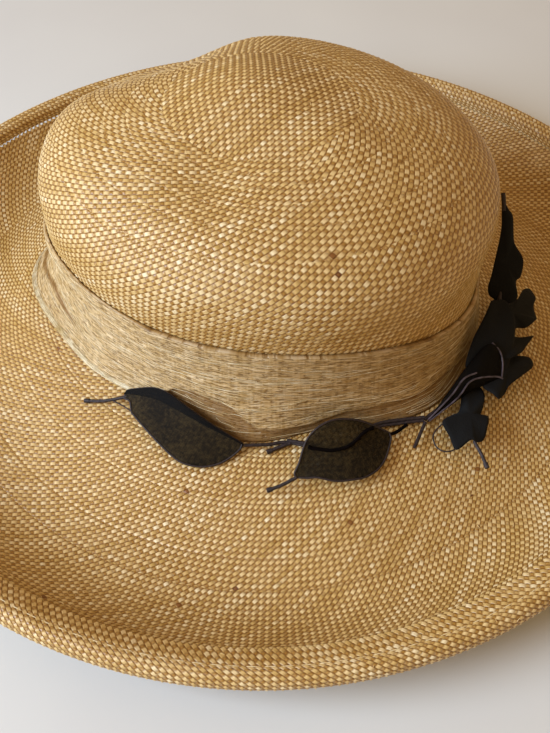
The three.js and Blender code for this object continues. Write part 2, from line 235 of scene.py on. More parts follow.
# %% Straw material
def straw_material():
    material, tree = new_material("plain_woven_straw")
    weave = add(tree, "ShaderNodeAttribute", attribute_name="weave")
    across_along = add(tree, "ShaderNodeSeparateXYZ", {0: weave.outputs["Vector"]})
    cell, place_in = [], []
    for axis in (1, 0):
        cell.append(add(tree, "ShaderNodeMath", {0: across_along.outputs[axis]}, operation="FLOOR"))
        fraction = add(tree, "ShaderNodeMath", {0: across_along.outputs[axis]}, operation="FRACT")
        place_in.append(add(tree, "ShaderNodeMath", {0: fraction, 1: 0.5}, operation="SUBTRACT"))
    row = add(tree, "ShaderNodeMath", {0: cell[0], 1: 1.0}, operation="ADD")
    both = add(tree, "ShaderNodeMath", {0: row, 1: cell[1]}, operation="ADD")
    under = add(tree, "ShaderNodeMath", {0: both, 1: 2.0}, operation="FLOORED_MODULO")

    def fade(offset, edge):
        """1 in the middle of a straw, 0 past its edge."""
        away = add(tree, "ShaderNodeMath", {0: offset}, operation="ABSOLUTE")
        limits = {"From Min": edge["flat"], "From Max": edge["end"], "To Min": 1.0, "To Max": 0.0}
        return add(tree, "ShaderNodeMapRange", {"Value": away, **limits}, interpolation_type="SMOOTHSTEP")

    def arch(offset):
        """1 in the middle of a crossing, 0 at its edge."""
        turn = add(tree, "ShaderNodeMath", {0: offset, 1: math.pi}, operation="MULTIPLY")
        return add(tree, "ShaderNodeMath", {0: turn}, operation="COSINE")

    # Upper family: straws that rise over one crossing and sink, but stay in sight, under the next
    side_of = add(tree, "ShaderNodeMapRange", {"Value": under, "To Min": 0.5, "To Max": -0.5})
    swell = add(tree, "ShaderNodeMath", {0: arch(place_in[0]), 1: side_of, 2: 0.5},
                operation="MULTIPLY_ADD")
    upper = add(tree, "ShaderNodeMath", {0: swell, 1: fade(place_in[1], STRAW_EDGE)}, operation="MULTIPLY")

    # Lower family: narrow floats that cross over where the upper family has sunk
    narrow = add(tree, "ShaderNodeMath", {0: fade(place_in[0], UNDER_EDGE), 1: under}, operation="MULTIPLY")
    bowed = add(tree, "ShaderNodeMath", {0: arch(place_in[1]), 1: UNDER_HEIGHT}, operation="MULTIPLY")
    lower = add(tree, "ShaderNodeMath", {0: narrow, 1: bowed}, operation="MULTIPLY")
    height = add(tree, "ShaderNodeMath", {0: upper, 1: lower}, operation="MAXIMUM")
    crossed = add(tree, "ShaderNodeMath", {0: narrow, 1: 0.5}, operation="GREATER_THAN")
    along = add(tree, "ShaderNodeMix", {0: crossed, 2: place_in[0], 3: place_in[1]})
    across = add(tree, "ShaderNodeMix", {0: crossed, 2: place_in[1], 3: place_in[0]})
    straw = add(tree, "ShaderNodeMix", {0: crossed, 2: cell[1], 3: cell[0]})
    chance_at = add(tree, "ShaderNodeCombineXYZ", {0: cell[0], 1: cell[1]})
    chance = add(tree, "ShaderNodeTexWhiteNoise", {"Vector": chance_at}, noise_dimensions="2D")
    straw_at = add(tree, "ShaderNodeCombineXYZ", {0: straw, 1: crossed})
    straw_tone = add(tree, "ShaderNodeTexWhiteNoise", {"Vector": straw_at}, noise_dimensions="2D")
    lean = add(tree, "ShaderNodeMath", {0: chance.outputs["Value"], 1: 0.5}, operation="SUBTRACT")
    tilt = add(tree, "ShaderNodeMath", {0: lean, 1: FLOAT_TILT}, operation="MULTIPLY")
    tilted = add(tree, "ShaderNodeMath", {0: along, 1: tilt, 2: height}, operation="MULTIPLY_ADD")

    # Fine fibres along each straw
    fibre_at = add(tree, "ShaderNodeCombineXYZ", {0: along, 1: across, 2: chance.outputs["Value"]})
    fibre_stretch = add(tree, "ShaderNodeVectorMath", {0: fibre_at, 1: FIBRE_STRETCH}, operation="MULTIPLY")
    fibre = add(tree, "ShaderNodeTexNoise", {"Vector": fibre_stretch, "Scale": 1.0, "Detail": 1.0})
    relief = add(tree, "ShaderNodeMath", {0: fibre, 1: FIBRE_RELIEF, 2: tilted}, operation="MULTIPLY_ADD")
    bump = add(tree, "ShaderNodeBump", {"Height": relief, "Distance": FLOAT_RELIEF, "Strength": FLOAT_BUMP})

    # Float colour: painted shade darkens and warms the gaps between floats; tone changes slowly over the
    # hat
    tone = add(tree, "ShaderNodeMix", {0: STRAW_TONE, 2: chance.outputs["Value"],
                                       3: straw_tone.outputs["Value"]})
    gold = ramp(tree, tone, STRAW_RAMP)
    # The lower family's darker tint is partly painted shade: only the upper family's gloss catches the
    # light
    gold_and_under_shade = add(tree, "ShaderNodeMix", {0: narrow, 6: gold, 7: linear(UNDER_SHADE_TINT)}, data_type="RGBA",
                    blend_type="MULTIPLY")
    brown = add(tree, "ShaderNodeMath", {0: chance.outputs["Value"], 1: 1 - BROWN_SHARE},
                operation="GREATER_THAN")
    floats = add(tree, "ShaderNodeMix", {0: brown, 6: gold_and_under_shade.outputs[2], 7: linear(BROWN_FLOAT)},
                 data_type="RGBA")
    top = add(tree, "ShaderNodeMapRange", {"Value": height, **FLOAT_TOP})
    spot = add(tree, "ShaderNodeTexCoord")
    cloud = add(tree, "ShaderNodeTexNoise", {"Vector": spot.outputs["Object"],
                                             "Scale": PATCHES_PER_METRE, "Detail": 2.0})
    slow = add(tree, "ShaderNodeMapRange", {"Value": cloud, **PATCHY_TONE})
    shaded = add(tree, "ShaderNodeMath", {0: top, 1: slow}, operation="MULTIPLY")
    depth = add(tree, "ShaderNodeMix", {0: shaded, 6: linear(GAP_SHADE_COLOUR), 7: linear(WHITE)},
                data_type="RGBA")
    colour = add(tree, "ShaderNodeMix", {0: 1.0, 6: floats.outputs[2], 7: depth.outputs[2]},
                 data_type="RGBA", blend_type="MULTIPLY")
    gloss = add(tree, "ShaderNodeMapRange", {"Value": straw_tone.outputs["Value"], **STRAW_ROUGHNESS})
    finish_material(tree, {"Base Color": colour.outputs[2], "Normal": bump, "Roughness": gloss,
                           "IOR": FIBRE_IOR})
    return material


woven_straw = straw_material()
print("material:", woven_straw.name)

# %% [markdown]
# The hat's form. A hatter blocks the straw over a wooden head: the head line is an oval, a little longer
# than wide and turned slightly, and the brim's edge is a nearly round oval. The ovals are the solids'
# own. The rim's waves, up to some millimetres, were read from the photo after them.

# %% Ovals
STRAW = 1.6
GAP = 0.3
HEAD = {"long": 96.5, "wide": 85.0, "turn": math.radians(-12), "x": -2.0, "y": 5.25}
RIM = {"x": 203.5, "y": 197.75}
RIM_WAVES = [
    {"at": 135, "lift": -1.0, "out": -1.0, "spread": 42},
    {"at": 45, "lift": -2.0, "out": -1.5, "spread": 42},
    {"at": -135, "lift": -0.7, "out": 1.0, "spread": 38},
    {"at": -90, "lift": -1.7, "out": 0.3, "spread": 34},
    {"at": -40, "lift": 3.0, "out": -5.4, "spread": 34},
]
HEADLINE = 16.0
CROWN_FOOT = HEADLINE + STRAW + GAP
print("brim:", 2 * RIM["x"], "by", 2 * RIM["y"], "mm")


def oval_radius(long, wide, angle):
    return long * wide / np.hypot(wide * np.cos(angle), long * np.sin(angle))


def head_radius(angle, grow_by=0.0):
    return oval_radius(HEAD["long"] + grow_by, HEAD["wide"] + grow_by, angle - HEAD["turn"])


def smoothstep(value, low, high):
    share = np.clip((value - low) / (high - low), 0, 1)
    return share * share * (3 - 2 * share)


def hump(angle, at, spread):
    """Smooth hump of height 1 round a direction, in degrees."""
    away = (np.degrees(angle) - at + 180) % 360 - 180
    return np.exp(-((away / spread) ** 2))


def rim_wave(angle, key):
    return sum(wave[key] * hump(angle, wave["at"], wave["spread"]) for wave in RIM_WAVES)


def rim_radius(angle):
    return oval_radius(RIM["x"], RIM["y"], angle) + rim_wave(angle, "out")


# %% [markdown]
# Weaving a wall. The mesh's own squares are the weave's squares, two to each straw, laid over the form.
# The weaver starts with a flat patch at the tip and then works round and round. As the hat widens straws
# are laid in, so the weave is made here in rings: within a ring the number of straws stays the same, and
# the next ring has more. Each ring has a woven face and a plain face behind it, joined round the cut
# edge, so it is a closed sheet of straw; where two rings meet, the row that each lays past the border is
# tucked under the other. A Geometry Nodes tree then raises the middle of each crossing and sinks its
# corners, which is the rule of a plain weave: no brush stroke could keep more than sixty thousand
# crossings in step.

# %% Weave tree
UNDER_RISE = 0.35
UNEVEN_RISE = {"To Min": 0.8, "To Max": 1.2}

# One number from the two of a crossing, so that each crossing has a chance of its own
ROW_KEY = 2048.0


def weave_tree():
    tree, source, output = new_tree("plain_weave_relief", relief=0.00025, slub_rise=0.5, slub_share=0.03,
                                    seed=3, material=None)
    weave = add(tree, "GeometryNodeInputNamedAttribute", {"Name": "weave"}, data_type="FLOAT_VECTOR")
    outward = add(tree, "GeometryNodeInputNamedAttribute", {"Name": "outward"}, data_type="FLOAT_VECTOR")
    split = add(tree, "ShaderNodeSeparateXYZ", {0: weave})
    waves, cells = [], []
    for axis in range(2):
        turn = add(tree, "ShaderNodeMath", {0: split.outputs[axis], 1: 2 * math.pi}, operation="MULTIPLY")
        waves.append(add(tree, "ShaderNodeMath", {0: turn}, operation="COSINE"))
        cells.append(add(tree, "ShaderNodeMath", {0: split.outputs[axis]}, operation="FLOOR"))
    both = add(tree, "ShaderNodeMath", {0: waves[0], 1: waves[1]}, operation="ADD")
    height = add(tree, "ShaderNodeMath", {0: both, 1: -0.5}, operation="MULTIPLY")
    sum_of = add(tree, "ShaderNodeMath", {0: cells[0], 1: cells[1]}, operation="ADD")
    under = add(tree, "ShaderNodeMath", {0: sum_of, 1: 2.0}, operation="FLOORED_MODULO")
    family = add(tree, "ShaderNodeMapRange", {"Value": under, "To Min": UNDER_RISE, "To Max": 1.0})
    crossing = add(tree, "ShaderNodeMath", {0: cells[0], 1: ROW_KEY, 2: cells[1]}, operation="MULTIPLY_ADD")
    chance = add(tree, "FunctionNodeRandomValue", {"ID": crossing, "Seed": source.outputs["Seed"]})
    slub = add(tree, "ShaderNodeMath", {0: chance.outputs[1], 1: source.outputs["Slub share"]},
               operation="LESS_THAN")
    proud = add(tree, "ShaderNodeMath", {0: slub, 1: source.outputs["Slub rise"], 2: family},
                operation="MULTIPLY_ADD")
    uneven = add(tree, "ShaderNodeMapRange", {"Value": chance.outputs[1], **UNEVEN_RISE})
    scale = add(tree, "ShaderNodeMath", {0: proud, 1: uneven}, operation="MULTIPLY")
    high = add(tree, "ShaderNodeMath", {0: height, 1: 0.5}, operation="GREATER_THAN")
    lift = add(tree, "ShaderNodeMix", {0: high, 2: height, 3: scale})
    size = add(tree, "ShaderNodeMath", {0: lift, 1: source.outputs["Relief"]}, operation="MULTIPLY")
    offset = add(tree, "ShaderNodeVectorMath", {0: outward, "Scale": size}, operation="SCALE")
    moved = add(tree, "GeometryNodeSetPosition", {0: source.outputs["Geometry"], "Offset": offset})
    finish_tree(tree, moved, source.outputs["Material"], output)
    return tree


plain_weave = weave_tree()
print("tree:", plain_weave.name)

# %% Rings of weave
RING_GROWTH = 1.16
SEARCH_STEPS = 200
RING_START = math.radians(90)
ROW_TUCK = 0.5
NO_LAP = (-math.inf, math.inf)


def ring_stretches(start, end, girth):
    """Splits a stretch into rings, none of them much wider at one edge than at the other."""
    edges = [start]
    while edges[-1] < end:
        steps = np.linspace(edges[-1], end, SEARCH_STEPS)
        growth = girth(steps) / girth(steps[:1])
        wide = np.nonzero(np.maximum(growth, 1 / growth) > RING_GROWTH)[0]
        edges.append(steps[wide[0]] if len(wide) else end)
    return list(zip(edges[:-1], edges[1:]))


def ring_patch(start, end, girth, weave, laps):
    """Crossings of one ring of weave, and a function from a place in it to how far down and which way."""
    around = girth(np.array([(start + end) / 2]))[0]
    count_u = round(around * (1 / weave["round"] + weave["lean_round"]))
    count_v = round(around * (1 / weave["round"] - weave["lean_round"]))
    count_v += (count_u + count_v) % 2
    down_u = 1 / weave["down"] + weave["lean_down"]
    down_v = 1 / weave["down"] - weave["lean_down"]
    whole = count_u * down_v + count_v * down_u
    rows = math.ceil((end - start) * max(down_u, down_v)) + 2

    def place_on(u, v):
        turn = (down_v * u + down_u * v) / whole
        return start + (count_v * u - count_u * v) / whole, RING_START + 2 * np.pi * turn

    i, j = np.meshgrid(np.arange(-rows, count_u + rows), np.arange(-rows, count_v + rows))
    down, angle = place_on(i + 0.5, j + 0.5)
    turn = (angle - RING_START) / (2 * np.pi)
    lap = weave["down"] / 2
    low = start - lap if laps[0] else start
    high = end + lap if laps[1] else end
    chosen = (turn >= 0) & (turn < 1) & (down >= low) & (down <= high)
    return i[chosen], j[chosen], place_on


def disc_patch(reach, pitch, turn):
    """Crossings of the flat patch that the weave starts with."""
    count = int(reach / pitch) + 2
    i, j = np.meshgrid(np.arange(-count, count), np.arange(-count, count))
    chosen = np.hypot(i + 0.5, j + 0.5) * pitch < reach

    def place_on(u, v):
        return np.hypot(u, v) * pitch, np.arctan2(v, u) + turn

    return i[chosen], j[chosen], place_on


# %% Woven wall
WEAVE_RELIEF = 0.25
SLOPE_STEP = 0.05

# One number from the two of a grid point, and a shift that gives each patch chances of its own
SPAN = 8192
PATCH_SHIFT = 400

# A crossing is a square of three by three points
CORNERS = [0, 2, 8, 6]
QUARTERS = [(0, 1, 4, 3), (1, 2, 5, 4), (3, 4, 7, 6), (4, 5, 8, 7)]
SIDES = [(0, 1, 2), (2, 5, 8), (8, 7, 6), (6, 3, 0)]


def woven_patch(surface, patch, thick, woven_side, tucked):
    """Points, faces and sharp edges of one closed sheet of weave."""
    i, j, place_on = patch
    steps = np.arange(9)
    grid_u = (2 * i[:, None] + steps % 3 + SPAN // 2).astype(np.int64)
    grid_v = (2 * j[:, None] + steps // 3 + SPAN // 2).astype(np.int64)
    keys, index = np.unique(grid_u * SPAN + grid_v, return_inverse=True)
    index = index.reshape(-1, 9)
    u = (keys // SPAN - SPAN // 2) / 2
    v = (keys % SPAN - SPAN // 2) / 2
    points = surface(*place_on(u, v))
    run_u = surface(*place_on(u + SLOPE_STEP, v)) - surface(*place_on(u - SLOPE_STEP, v))
    run_v = surface(*place_on(u, v + SLOPE_STEP)) - surface(*place_on(u, v - SLOPE_STEP))
    outward = np.cross(run_u, run_v) * woven_side
    outward /= np.linalg.norm(outward, axis=1)[:, None]
    down = place_on(u, v)[0]
    lapped = (down < tucked[0]) | (down > tucked[1])
    points = points - outward * (lapped * ROW_TUCK)[:, None]

    # Woven face, plain face behind it, and the cut edge between them
    corners, behind = np.unique(index[:, CORNERS], return_inverse=True)
    behind = behind.reshape(-1, 4) + len(points)
    plain = np.full(len(points), -1)
    plain[corners] = np.arange(len(corners)) + len(points)
    woven = np.concatenate([index[:, quarter] for quarter in QUARTERS])
    back = behind[:, ::-1]
    rows = np.concatenate([index[:, side] for side in SIDES])
    single = np.bincount(rows[:, 1], minlength=len(points))[rows[:, 1]] == 1
    a, m, b = rows[single].T
    cut = np.stack([b, m, a, plain[a], plain[b]], axis=1)
    if woven_side < 0:
        woven, back, cut = woven[:, ::-1], back[:, ::-1], cut[:, ::-1]
    faces = [np.concatenate([woven, back]), cut]
    sharp = np.stack([np.concatenate([a, m, plain[a]]), np.concatenate([m, b, plain[b]])], axis=1)
    all_points = np.concatenate([points, points[corners] - outward[corners] * thick])
    place_in = np.stack([u, v, np.zeros_like(u)], axis=1)
    weave = np.concatenate([place_in, place_in[corners]])
    return all_points, faces, sharp, weave, np.concatenate([outward, np.zeros((len(corners), 3))])


def sharpen(mesh, wanted):
    """Marks edges as sharp, so that a cut edge doesn't bend the shading of the face beside it."""
    pairs = np.empty(2 * len(mesh.edges), dtype=np.int64)
    mesh.edges.foreach_get("vertices", pairs)
    pairs = np.sort(pairs.reshape(-1, 2), axis=1)
    wanted = np.sort(wanted, axis=1)
    size = len(mesh.vertices)
    is_sharp = np.isin(pairs[:, 0] * size + pairs[:, 1], wanted[:, 0] * size + wanted[:, 1])
    layer = mesh.attributes.new("sharp_edge", "BOOLEAN", "EDGE")
    layer.data.foreach_set("value", is_sharp)


def woven_wall(name, node, surface, patches, thick, woven_side=1):
    """A wall of woven straw over a form, patch by patch; woven_side -1 weaves the far face."""
    points, faces, sharp, weave, outward = [], [], [], [], []
    start = 0
    for number, (patch, tucked) in enumerate(patches):
        sheet = woven_patch(surface, patch, thick, woven_side, tucked)
        points.append(sheet[0])
        faces += [face for group in sheet[1] for face in (group + start).tolist()]
        sharp.append(sheet[2] + start)
        weave.append(sheet[3] + (number * PATCH_SHIFT, 0, 0))
        outward.append(sheet[4])
        start += len(sheet[0])
    mesh = make_mesh(name, np.concatenate(points), faces, weave=np.concatenate(weave),
                     outward=np.concatenate(outward))
    sharpen(mesh, np.concatenate(sharp))
    piece = grow(name, mesh, plain_weave, relief=WEAVE_RELIEF * MM, material=woven_straw)
    fit(piece, node)
    print("patches:", len(patches))
    return piece


def woven_rings(start, end, girth, weave, laps=(False, False)):
    """The rings of a stretch, each with the places past which its rows are tucked under its neighbours'."""
    patches = []
    for low, high in ring_stretches(start, end, girth):
        lap = (low > start or laps[0], high < end or laps[1])
        edges = (low if lap[0] else NO_LAP[0], high if lap[1] else NO_LAP[1])
        patches.append((ring_patch(low, high, girth, weave, lap), edges))
    return patches


# %% [markdown]
# The crown bulges a little above the band, then rounds over to a soft peak that leans back and to one
# side. Its side is a smooth curve through a few sections, close to the solid's, with shallow dents and a
# swell of its left side laid over it. Sculpting could shape it too, but a curve tells each row of the
# weave how far it is from the tip. The weave starts as a flat patch on the tip and comes down the side in
# rings, a little slanted, as it does on the hat.

# %% Crown form
CROWN_SECTIONS = np.array([
    # rise, spread, lean
    (101.7, 0.0, -4.0), (101.2, 0.17, -4.0), (100.0, 0.34, -4.0), (98.0, 0.52, -4.0), (94.5, 0.69, -4.0),
    (89.0, 0.84, -4.0), (81.0, 0.95, -3.0), (71.0, 1.02, -1.5), (59.0, 1.035, -0.5), (45.0, 1.01, 0.0),
    (23.5, 1.0, 0.0), (0.0, 1.0, 0.0),
])
CROWN_DENTS = [
    {"x": -7.4, "y": 8.4, "lift": 6.2, "reach": 29},
    {"x": -39, "y": 64, "lift": -10, "reach": 23},
    {"x": -68, "y": 48, "lift": -7.4, "reach": 25.5},
    {"x": -21, "y": -41, "lift": -2.7, "reach": 17},
    {"x": 28, "y": -23.5, "lift": 2.7, "reach": 17},
]
SIDE_SWELL = {"at": 184, "spread": 18, "rise": 41, "reach": 13, "out": 4.3}
DENTS_FROM = 45
DENTS_FULL = 85
HEAD_MEAN = math.sqrt(HEAD["long"] * HEAD["wide"])

# The far side of the tip is added as one more section, so that the curve lies level there
mirrored = CROWN_SECTIONS[1] * (1, -1, 1)
knots = np.vstack([mirrored, CROWN_SECTIONS])
knot_run = np.hypot(np.diff(knots[:, 1]) * HEAD_MEAN, np.diff(knots[:, 0]))
knot_at = np.concatenate([[0], np.cumsum(knot_run)]) - knot_run[0]
knot_slope = np.gradient(knots, knot_at, axis=0)


def crown_profile(travel):
    """Rise, spread and lean after some travel down from the tip."""
    travel = np.clip(travel, 0, knot_at[-1])
    k = np.clip(np.searchsorted(knot_at, travel, side="right") - 1, 1, len(knot_at) - 2)
    span = knot_at[k + 1] - knot_at[k]
    t = ((travel - knot_at[k]) / span)[:, None]
    span = span[:, None]
    start = (1 + 2 * t) * (1 - t) ** 2 * knots[k] + t * (1 - t) ** 2 * span * knot_slope[k]
    end = t * t * (3 - 2 * t) * knots[k + 1] + t * t * (t - 1) * span * knot_slope[k + 1]
    return (start + end).T


def side_swell(rise, angle):
    """How far the left side stands out round the top of the band."""
    level = np.exp(-((rise - SIDE_SWELL["rise"]) / SIDE_SWELL["reach"]) ** 2)
    return SIDE_SWELL["out"] * level * hump(angle, SIDE_SWELL["at"], SIDE_SWELL["spread"])


def crown_point(travel, angle):
    rise, spread, lean = crown_profile(travel)
    radius = spread * head_radius(angle) + side_swell(rise, angle)
    x = lean + radius * np.cos(angle)
    y = radius * np.sin(angle)
    dent = 0
    for place_of in CROWN_DENTS:
        away = (x - place_of["x"]) ** 2 + (y - place_of["y"]) ** 2
        dent = dent + place_of["lift"] * np.exp(-away / place_of["reach"] ** 2)
    z = CROWN_FOOT + rise + dent * smoothstep(rise, DENTS_FROM, DENTS_FULL)
    return np.stack([x + HEAD["x"], y + HEAD["y"], z], axis=-1)


# %% Crown
SHEET_THICK = 0.6 * STRAW
CROWN_STEPS = 800
CROWN_WEAVE = {"round": 3.13, "down": 2.79, "lean_round": -0.05, "lean_down": 0.08}
EDGE_MARGIN = 1.6
TIP_PATCH = 38.0
TIP_PITCH = 2.0
TIP_TURN = math.radians(-42)
crown_travel = np.linspace(0, knot_at[-1], CROWN_STEPS)


def crown_girth(travel):
    return 2 * np.pi * HEAD_MEAN * crown_profile(travel)[1]


crown_patches = [(disc_patch(TIP_PATCH + TIP_PITCH, TIP_PITCH, TIP_TURN), (NO_LAP[0], TIP_PATCH))]
crown_patches += woven_rings(TIP_PATCH, knot_at[-1] - EDGE_MARGIN, crown_girth, CROWN_WEAVE, (True, False))
crown = woven_wall("crown_straw", "crown", crown_point, crown_patches, SHEET_THICK)

# %% [markdown]
# The brim falls from the head line to the ring that it stands on, turns up again, and ends in a hem that
# is rolled inwards and stitched. The slope and the upturned wall show the upper face of the straw. The
# hem is turned over, so it shows the under face, which is why its woven side is the other one. It is
# wider at the front, where its inner edge lies on as a flap. On the hat the weave runs on from one to the
# next; here it is parted into three meshes, to keep each of them light, at the trough and under the hem.

# %% Brim form
REST = {"inner": 50.0, "outer": 41.0}
ROLL = {"radius": 5.0, "rise": 23.0, "wall_in": 10.0}
WALL_CURVE = 1.75
WALL_UNDER = 1.0
SOFTEN = (-9.0, -6.0, -3.0, 0.0, 3.0, 6.0, 9.0)
WALL_TUCK = 0.97
ROLL_FROM = math.radians(-80)
ROLL_TO = math.radians(178)
HEM_FOOT = 6.3
HEM_ROUND = ROLL["radius"] * (ROLL_TO - ROLL_FROM)
HEM_FLAP_LENGTH = 8.0
HEM_LENGTH = HEM_FOOT + HEM_ROUND + HEM_FLAP_LENGTH
HEM_START = HEM_FOOT / HEM_LENGTH
HEM_END = (HEM_FOOT + HEM_ROUND) / HEM_LENGTH
HEM_FLAP = {"in": 1.0, "down": 2.5}
HEM_FRONT = {"at": -80, "spread": 80, "turn": math.radians(-56), "in": 9.0, "down": 3.8}
STITCH_TURN = math.radians(108)
STITCH_SINK = 0.55
STITCH_WIDTH = 0.3
HOLE_ROUNDS = 4


def hole_radius(angle):
    """Distance from the middle of the brim to the edge of the head opening."""
    guess = head_radius(angle, -STRAW)
    for _ in range(HOLE_ROUNDS):
        x = guess * np.cos(angle) - HEAD["x"]
        y = guess * np.sin(angle) - HEAD["y"]
        guess = guess + head_radius(np.arctan2(y, x), -STRAW) - np.hypot(x, y)
    return guess


def slope_height(back, reach):
    """Height of the sloping part some way in from the rim, softened where it meets the ring it rests on."""
    total = 0
    for shift in SOFTEN:
        share = np.clip((reach - back - shift) / (reach - REST["inner"]), 0, 1)
        total = total + HEADLINE * ((1 - share) + (1 + np.cos(np.pi * share)) / 2) / 2
    return total / len(SOFTEN)


def wall_section(share, angle):
    top = ROLL["rise"] + rim_wave(angle, "lift") - WALL_UNDER - STRAW
    back = REST["outer"] + (ROLL["wall_in"] - REST["outer"]) * share
    return back, top * share ** WALL_CURVE


def roll_section(turn, angle):
    """Outer face of the hem round its roll, drawn in a little along the row of stitches."""
    radius = ROLL["radius"] - STITCH_SINK * np.exp(-((turn - STITCH_TURN) / STITCH_WIDTH) ** 2)
    rise = ROLL["rise"] + rim_wave(angle, "lift")
    return ROLL["radius"] - radius * np.cos(turn), rise + radius * np.sin(turn)


def hem_section(share, angle):
    """Up from the wall's top, round the roll, then down to the wall, or on as a flap at the front."""
    front = hump(angle, HEM_FRONT["at"], HEM_FRONT["spread"])
    end = ROLL_TO + HEM_FRONT["turn"] * front
    turn = ROLL_FROM + (end - ROLL_FROM) * np.clip((share - HEM_START) / (HEM_END - HEM_START), 0, 1)
    back, z = roll_section(turn, angle)
    foot_back, foot_z = wall_section(np.ones_like(share), angle)
    before = np.clip(1 - share / HEM_START, 0, 1)
    back = back + (foot_back - back) * before
    z = z + (foot_z - z) * before
    after = np.clip((share - HEM_END) / (1 - HEM_END), 0, 1)
    back = back + (HEM_FLAP["in"] + HEM_FRONT["in"] * front) * after
    return back, z - (HEM_FLAP["down"] + HEM_FRONT["down"] * front) * after


# %% Brim surface
# Length along the wall's curve, measured in one direction and used in all of them
WALL_STEPS = 200
WALL_AT = np.radians(-30)
wall_share = np.linspace(0, 1, WALL_STEPS)
wall_back, wall_z = wall_section(wall_share, WALL_AT)
wall_run = np.concatenate([[0], np.cumsum(np.hypot(np.diff(wall_back), np.diff(wall_z)))])
WALL_LENGTH = wall_run[-1]
print("wall along its curve:", round(WALL_LENGTH, 1), "mm")

RIPPLES = [
    {"depth": 0.35, "turns": 5, "length": 19, "start": 0},
    {"depth": 0.3, "turns": 3, "length": -31, "start": 2},
]
RIPPLE_IN = {"low": 5, "high": 30}
RIPPLE_OUT = {"low": 8, "high": 25}


def ripple(radius, angle):
    """Soft unevenness of blocked straw."""
    total = 0
    for wave in RIPPLES:
        phase = wave["turns"] * angle + radius / wave["length"] + wave["start"]
        total = total + wave["depth"] * (1 + np.sin(phase))
    return total


def brim_surface(radius, angle):
    """Upper face of slope, trough and wall."""
    rim = rim_radius(angle)
    reach = rim - hole_radius(angle)
    past = radius - (rim - REST["outer"])
    back, wall_height = wall_section(np.interp(past, wall_run, wall_share), angle)
    on_slope = past < 0
    back = np.where(on_slope, rim - radius, back)
    z = slope_height(back, reach) + np.where(on_slope, 0, wall_height)
    z = z + ripple(radius, angle) * smoothstep(reach - back, **RIPPLE_IN) * smoothstep(back, **RIPPLE_OUT)
    plan = rim - back
    return np.stack([plan * np.cos(angle), plan * np.sin(angle), z + STRAW], axis=-1)


def hem_surface(down, angle):
    rim = rim_radius(angle)
    share = np.clip(down / HEM_LENGTH, 0, 1)
    back, z = hem_section(share, angle)
    return np.stack([(rim - back) * np.cos(angle), (rim - back) * np.sin(angle), z], axis=-1)


# %% Brim pieces
HEM_THICK = 0.4 * STRAW
SLOPE_WEAVE = {"round": 2.79, "down": 2.19, "lean_round": 0.0, "lean_down": 0.04}
EDGE_WEAVE = {"round": 2.75, "down": 2.6, "lean_round": 0.0, "lean_down": 0.0}
TROUGH = 0.5 * (REST["inner"] + REST["outer"])
HOLE_EDGE = 2.0
RIM_STEPS = 360
every_way = np.linspace(0, 2 * np.pi, RIM_STEPS, endpoint=False)
HOLE_MEAN = hole_radius(every_way).mean() + HOLE_EDGE
RIM_MEAN = rim_radius(every_way).mean()
SLOPE_LENGTH = RIM_MEAN - TROUGH - HOLE_MEAN
WALL_TOP = TROUGH - REST["outer"] + WALL_LENGTH * WALL_TUCK


def slope_surface(down, angle):
    inner = hole_radius(angle) + HOLE_EDGE
    outer = rim_radius(angle) - TROUGH
    return brim_surface(inner + (outer - inner) * down / SLOPE_LENGTH, angle)


def upturn_surface(down, angle):
    return brim_surface(rim_radius(angle) - TROUGH + down, angle)


def slope_girth(down):
    return 2 * np.pi * (HOLE_MEAN + down)


def upturn_girth(down):
    return 2 * np.pi * (RIM_MEAN - TROUGH + down * (TROUGH - ROLL["wall_in"]) / WALL_TOP)


def hem_girth(down):
    return 2 * np.pi * (RIM_MEAN - ROLL["radius"]) + 0 * down


slope_rings = woven_rings(0, SLOPE_LENGTH, slope_girth, SLOPE_WEAVE, (False, True))
wall_rings = woven_rings(0, WALL_TOP, upturn_girth, EDGE_WEAVE, (True, False))
hem_rings = woven_rings(EDGE_MARGIN, HEM_LENGTH - EDGE_MARGIN, hem_girth, EDGE_WEAVE)
brim_slope = woven_wall("brim_straw", "brim", slope_surface, slope_rings, SHEET_THICK)
brim_wall = woven_wall("brim_upturn", "brim", upturn_surface, wall_rings, SHEET_THICK)
brim_hem = woven_wall("brim_hem", "brim", hem_surface, hem_rings, HEM_THICK, woven_side=-1)

# %% [markdown]
# The hem is held by a running stitch of pale thread along the inside of the roll, which draws the straw
# in there. Stitches follow a path at even steps, which is what Curve to Points and Instance on Points are
# for: the curve gives each stitch its place and its direction.

# %% Hem stitches
STITCH = {"spacing": 6.3, "length": 4.1, "width": 0.45}
STITCH_BEAD = {"Segments": 8, "Rings": 6, "Radius": 0.5}
THREAD_BUMP = {"Distance": 0.0001, "Strength": 0.6}


def thread_material(name, stops, grains_per_mm, roughness):
    """Spun or split fibre: a fine streaked tone and a fine grain."""
    material, tree = new_material(name)
    spot = add(tree, "ShaderNodeTexCoord")
    grain = add(tree, "ShaderNodeTexNoise", {"Vector": spot.outputs["Object"],
                                             "Scale": grains_per_mm / MM, "Detail": 2.0})
    colour = ramp(tree, grain, stops)
    bump = add(tree, "ShaderNodeBump", {"Height": grain, **THREAD_BUMP})
    finish_material(tree, {"Base Color": colour, "Normal": bump, "Roughness": roughness, "IOR": FIBRE_IOR})
    return material


sewing_thread = thread_material("cotton_thread", [(0.3, "#C9AE78"), (0.7, "#EADBB2")],
                                grains_per_mm=0.9, roughness=0.6)
cut_straw = thread_material("cut_straw_ends", [(0.3, "#C1934B"), (0.7, "#F0D9A0")],
                            grains_per_mm=0.3, roughness=0.4)


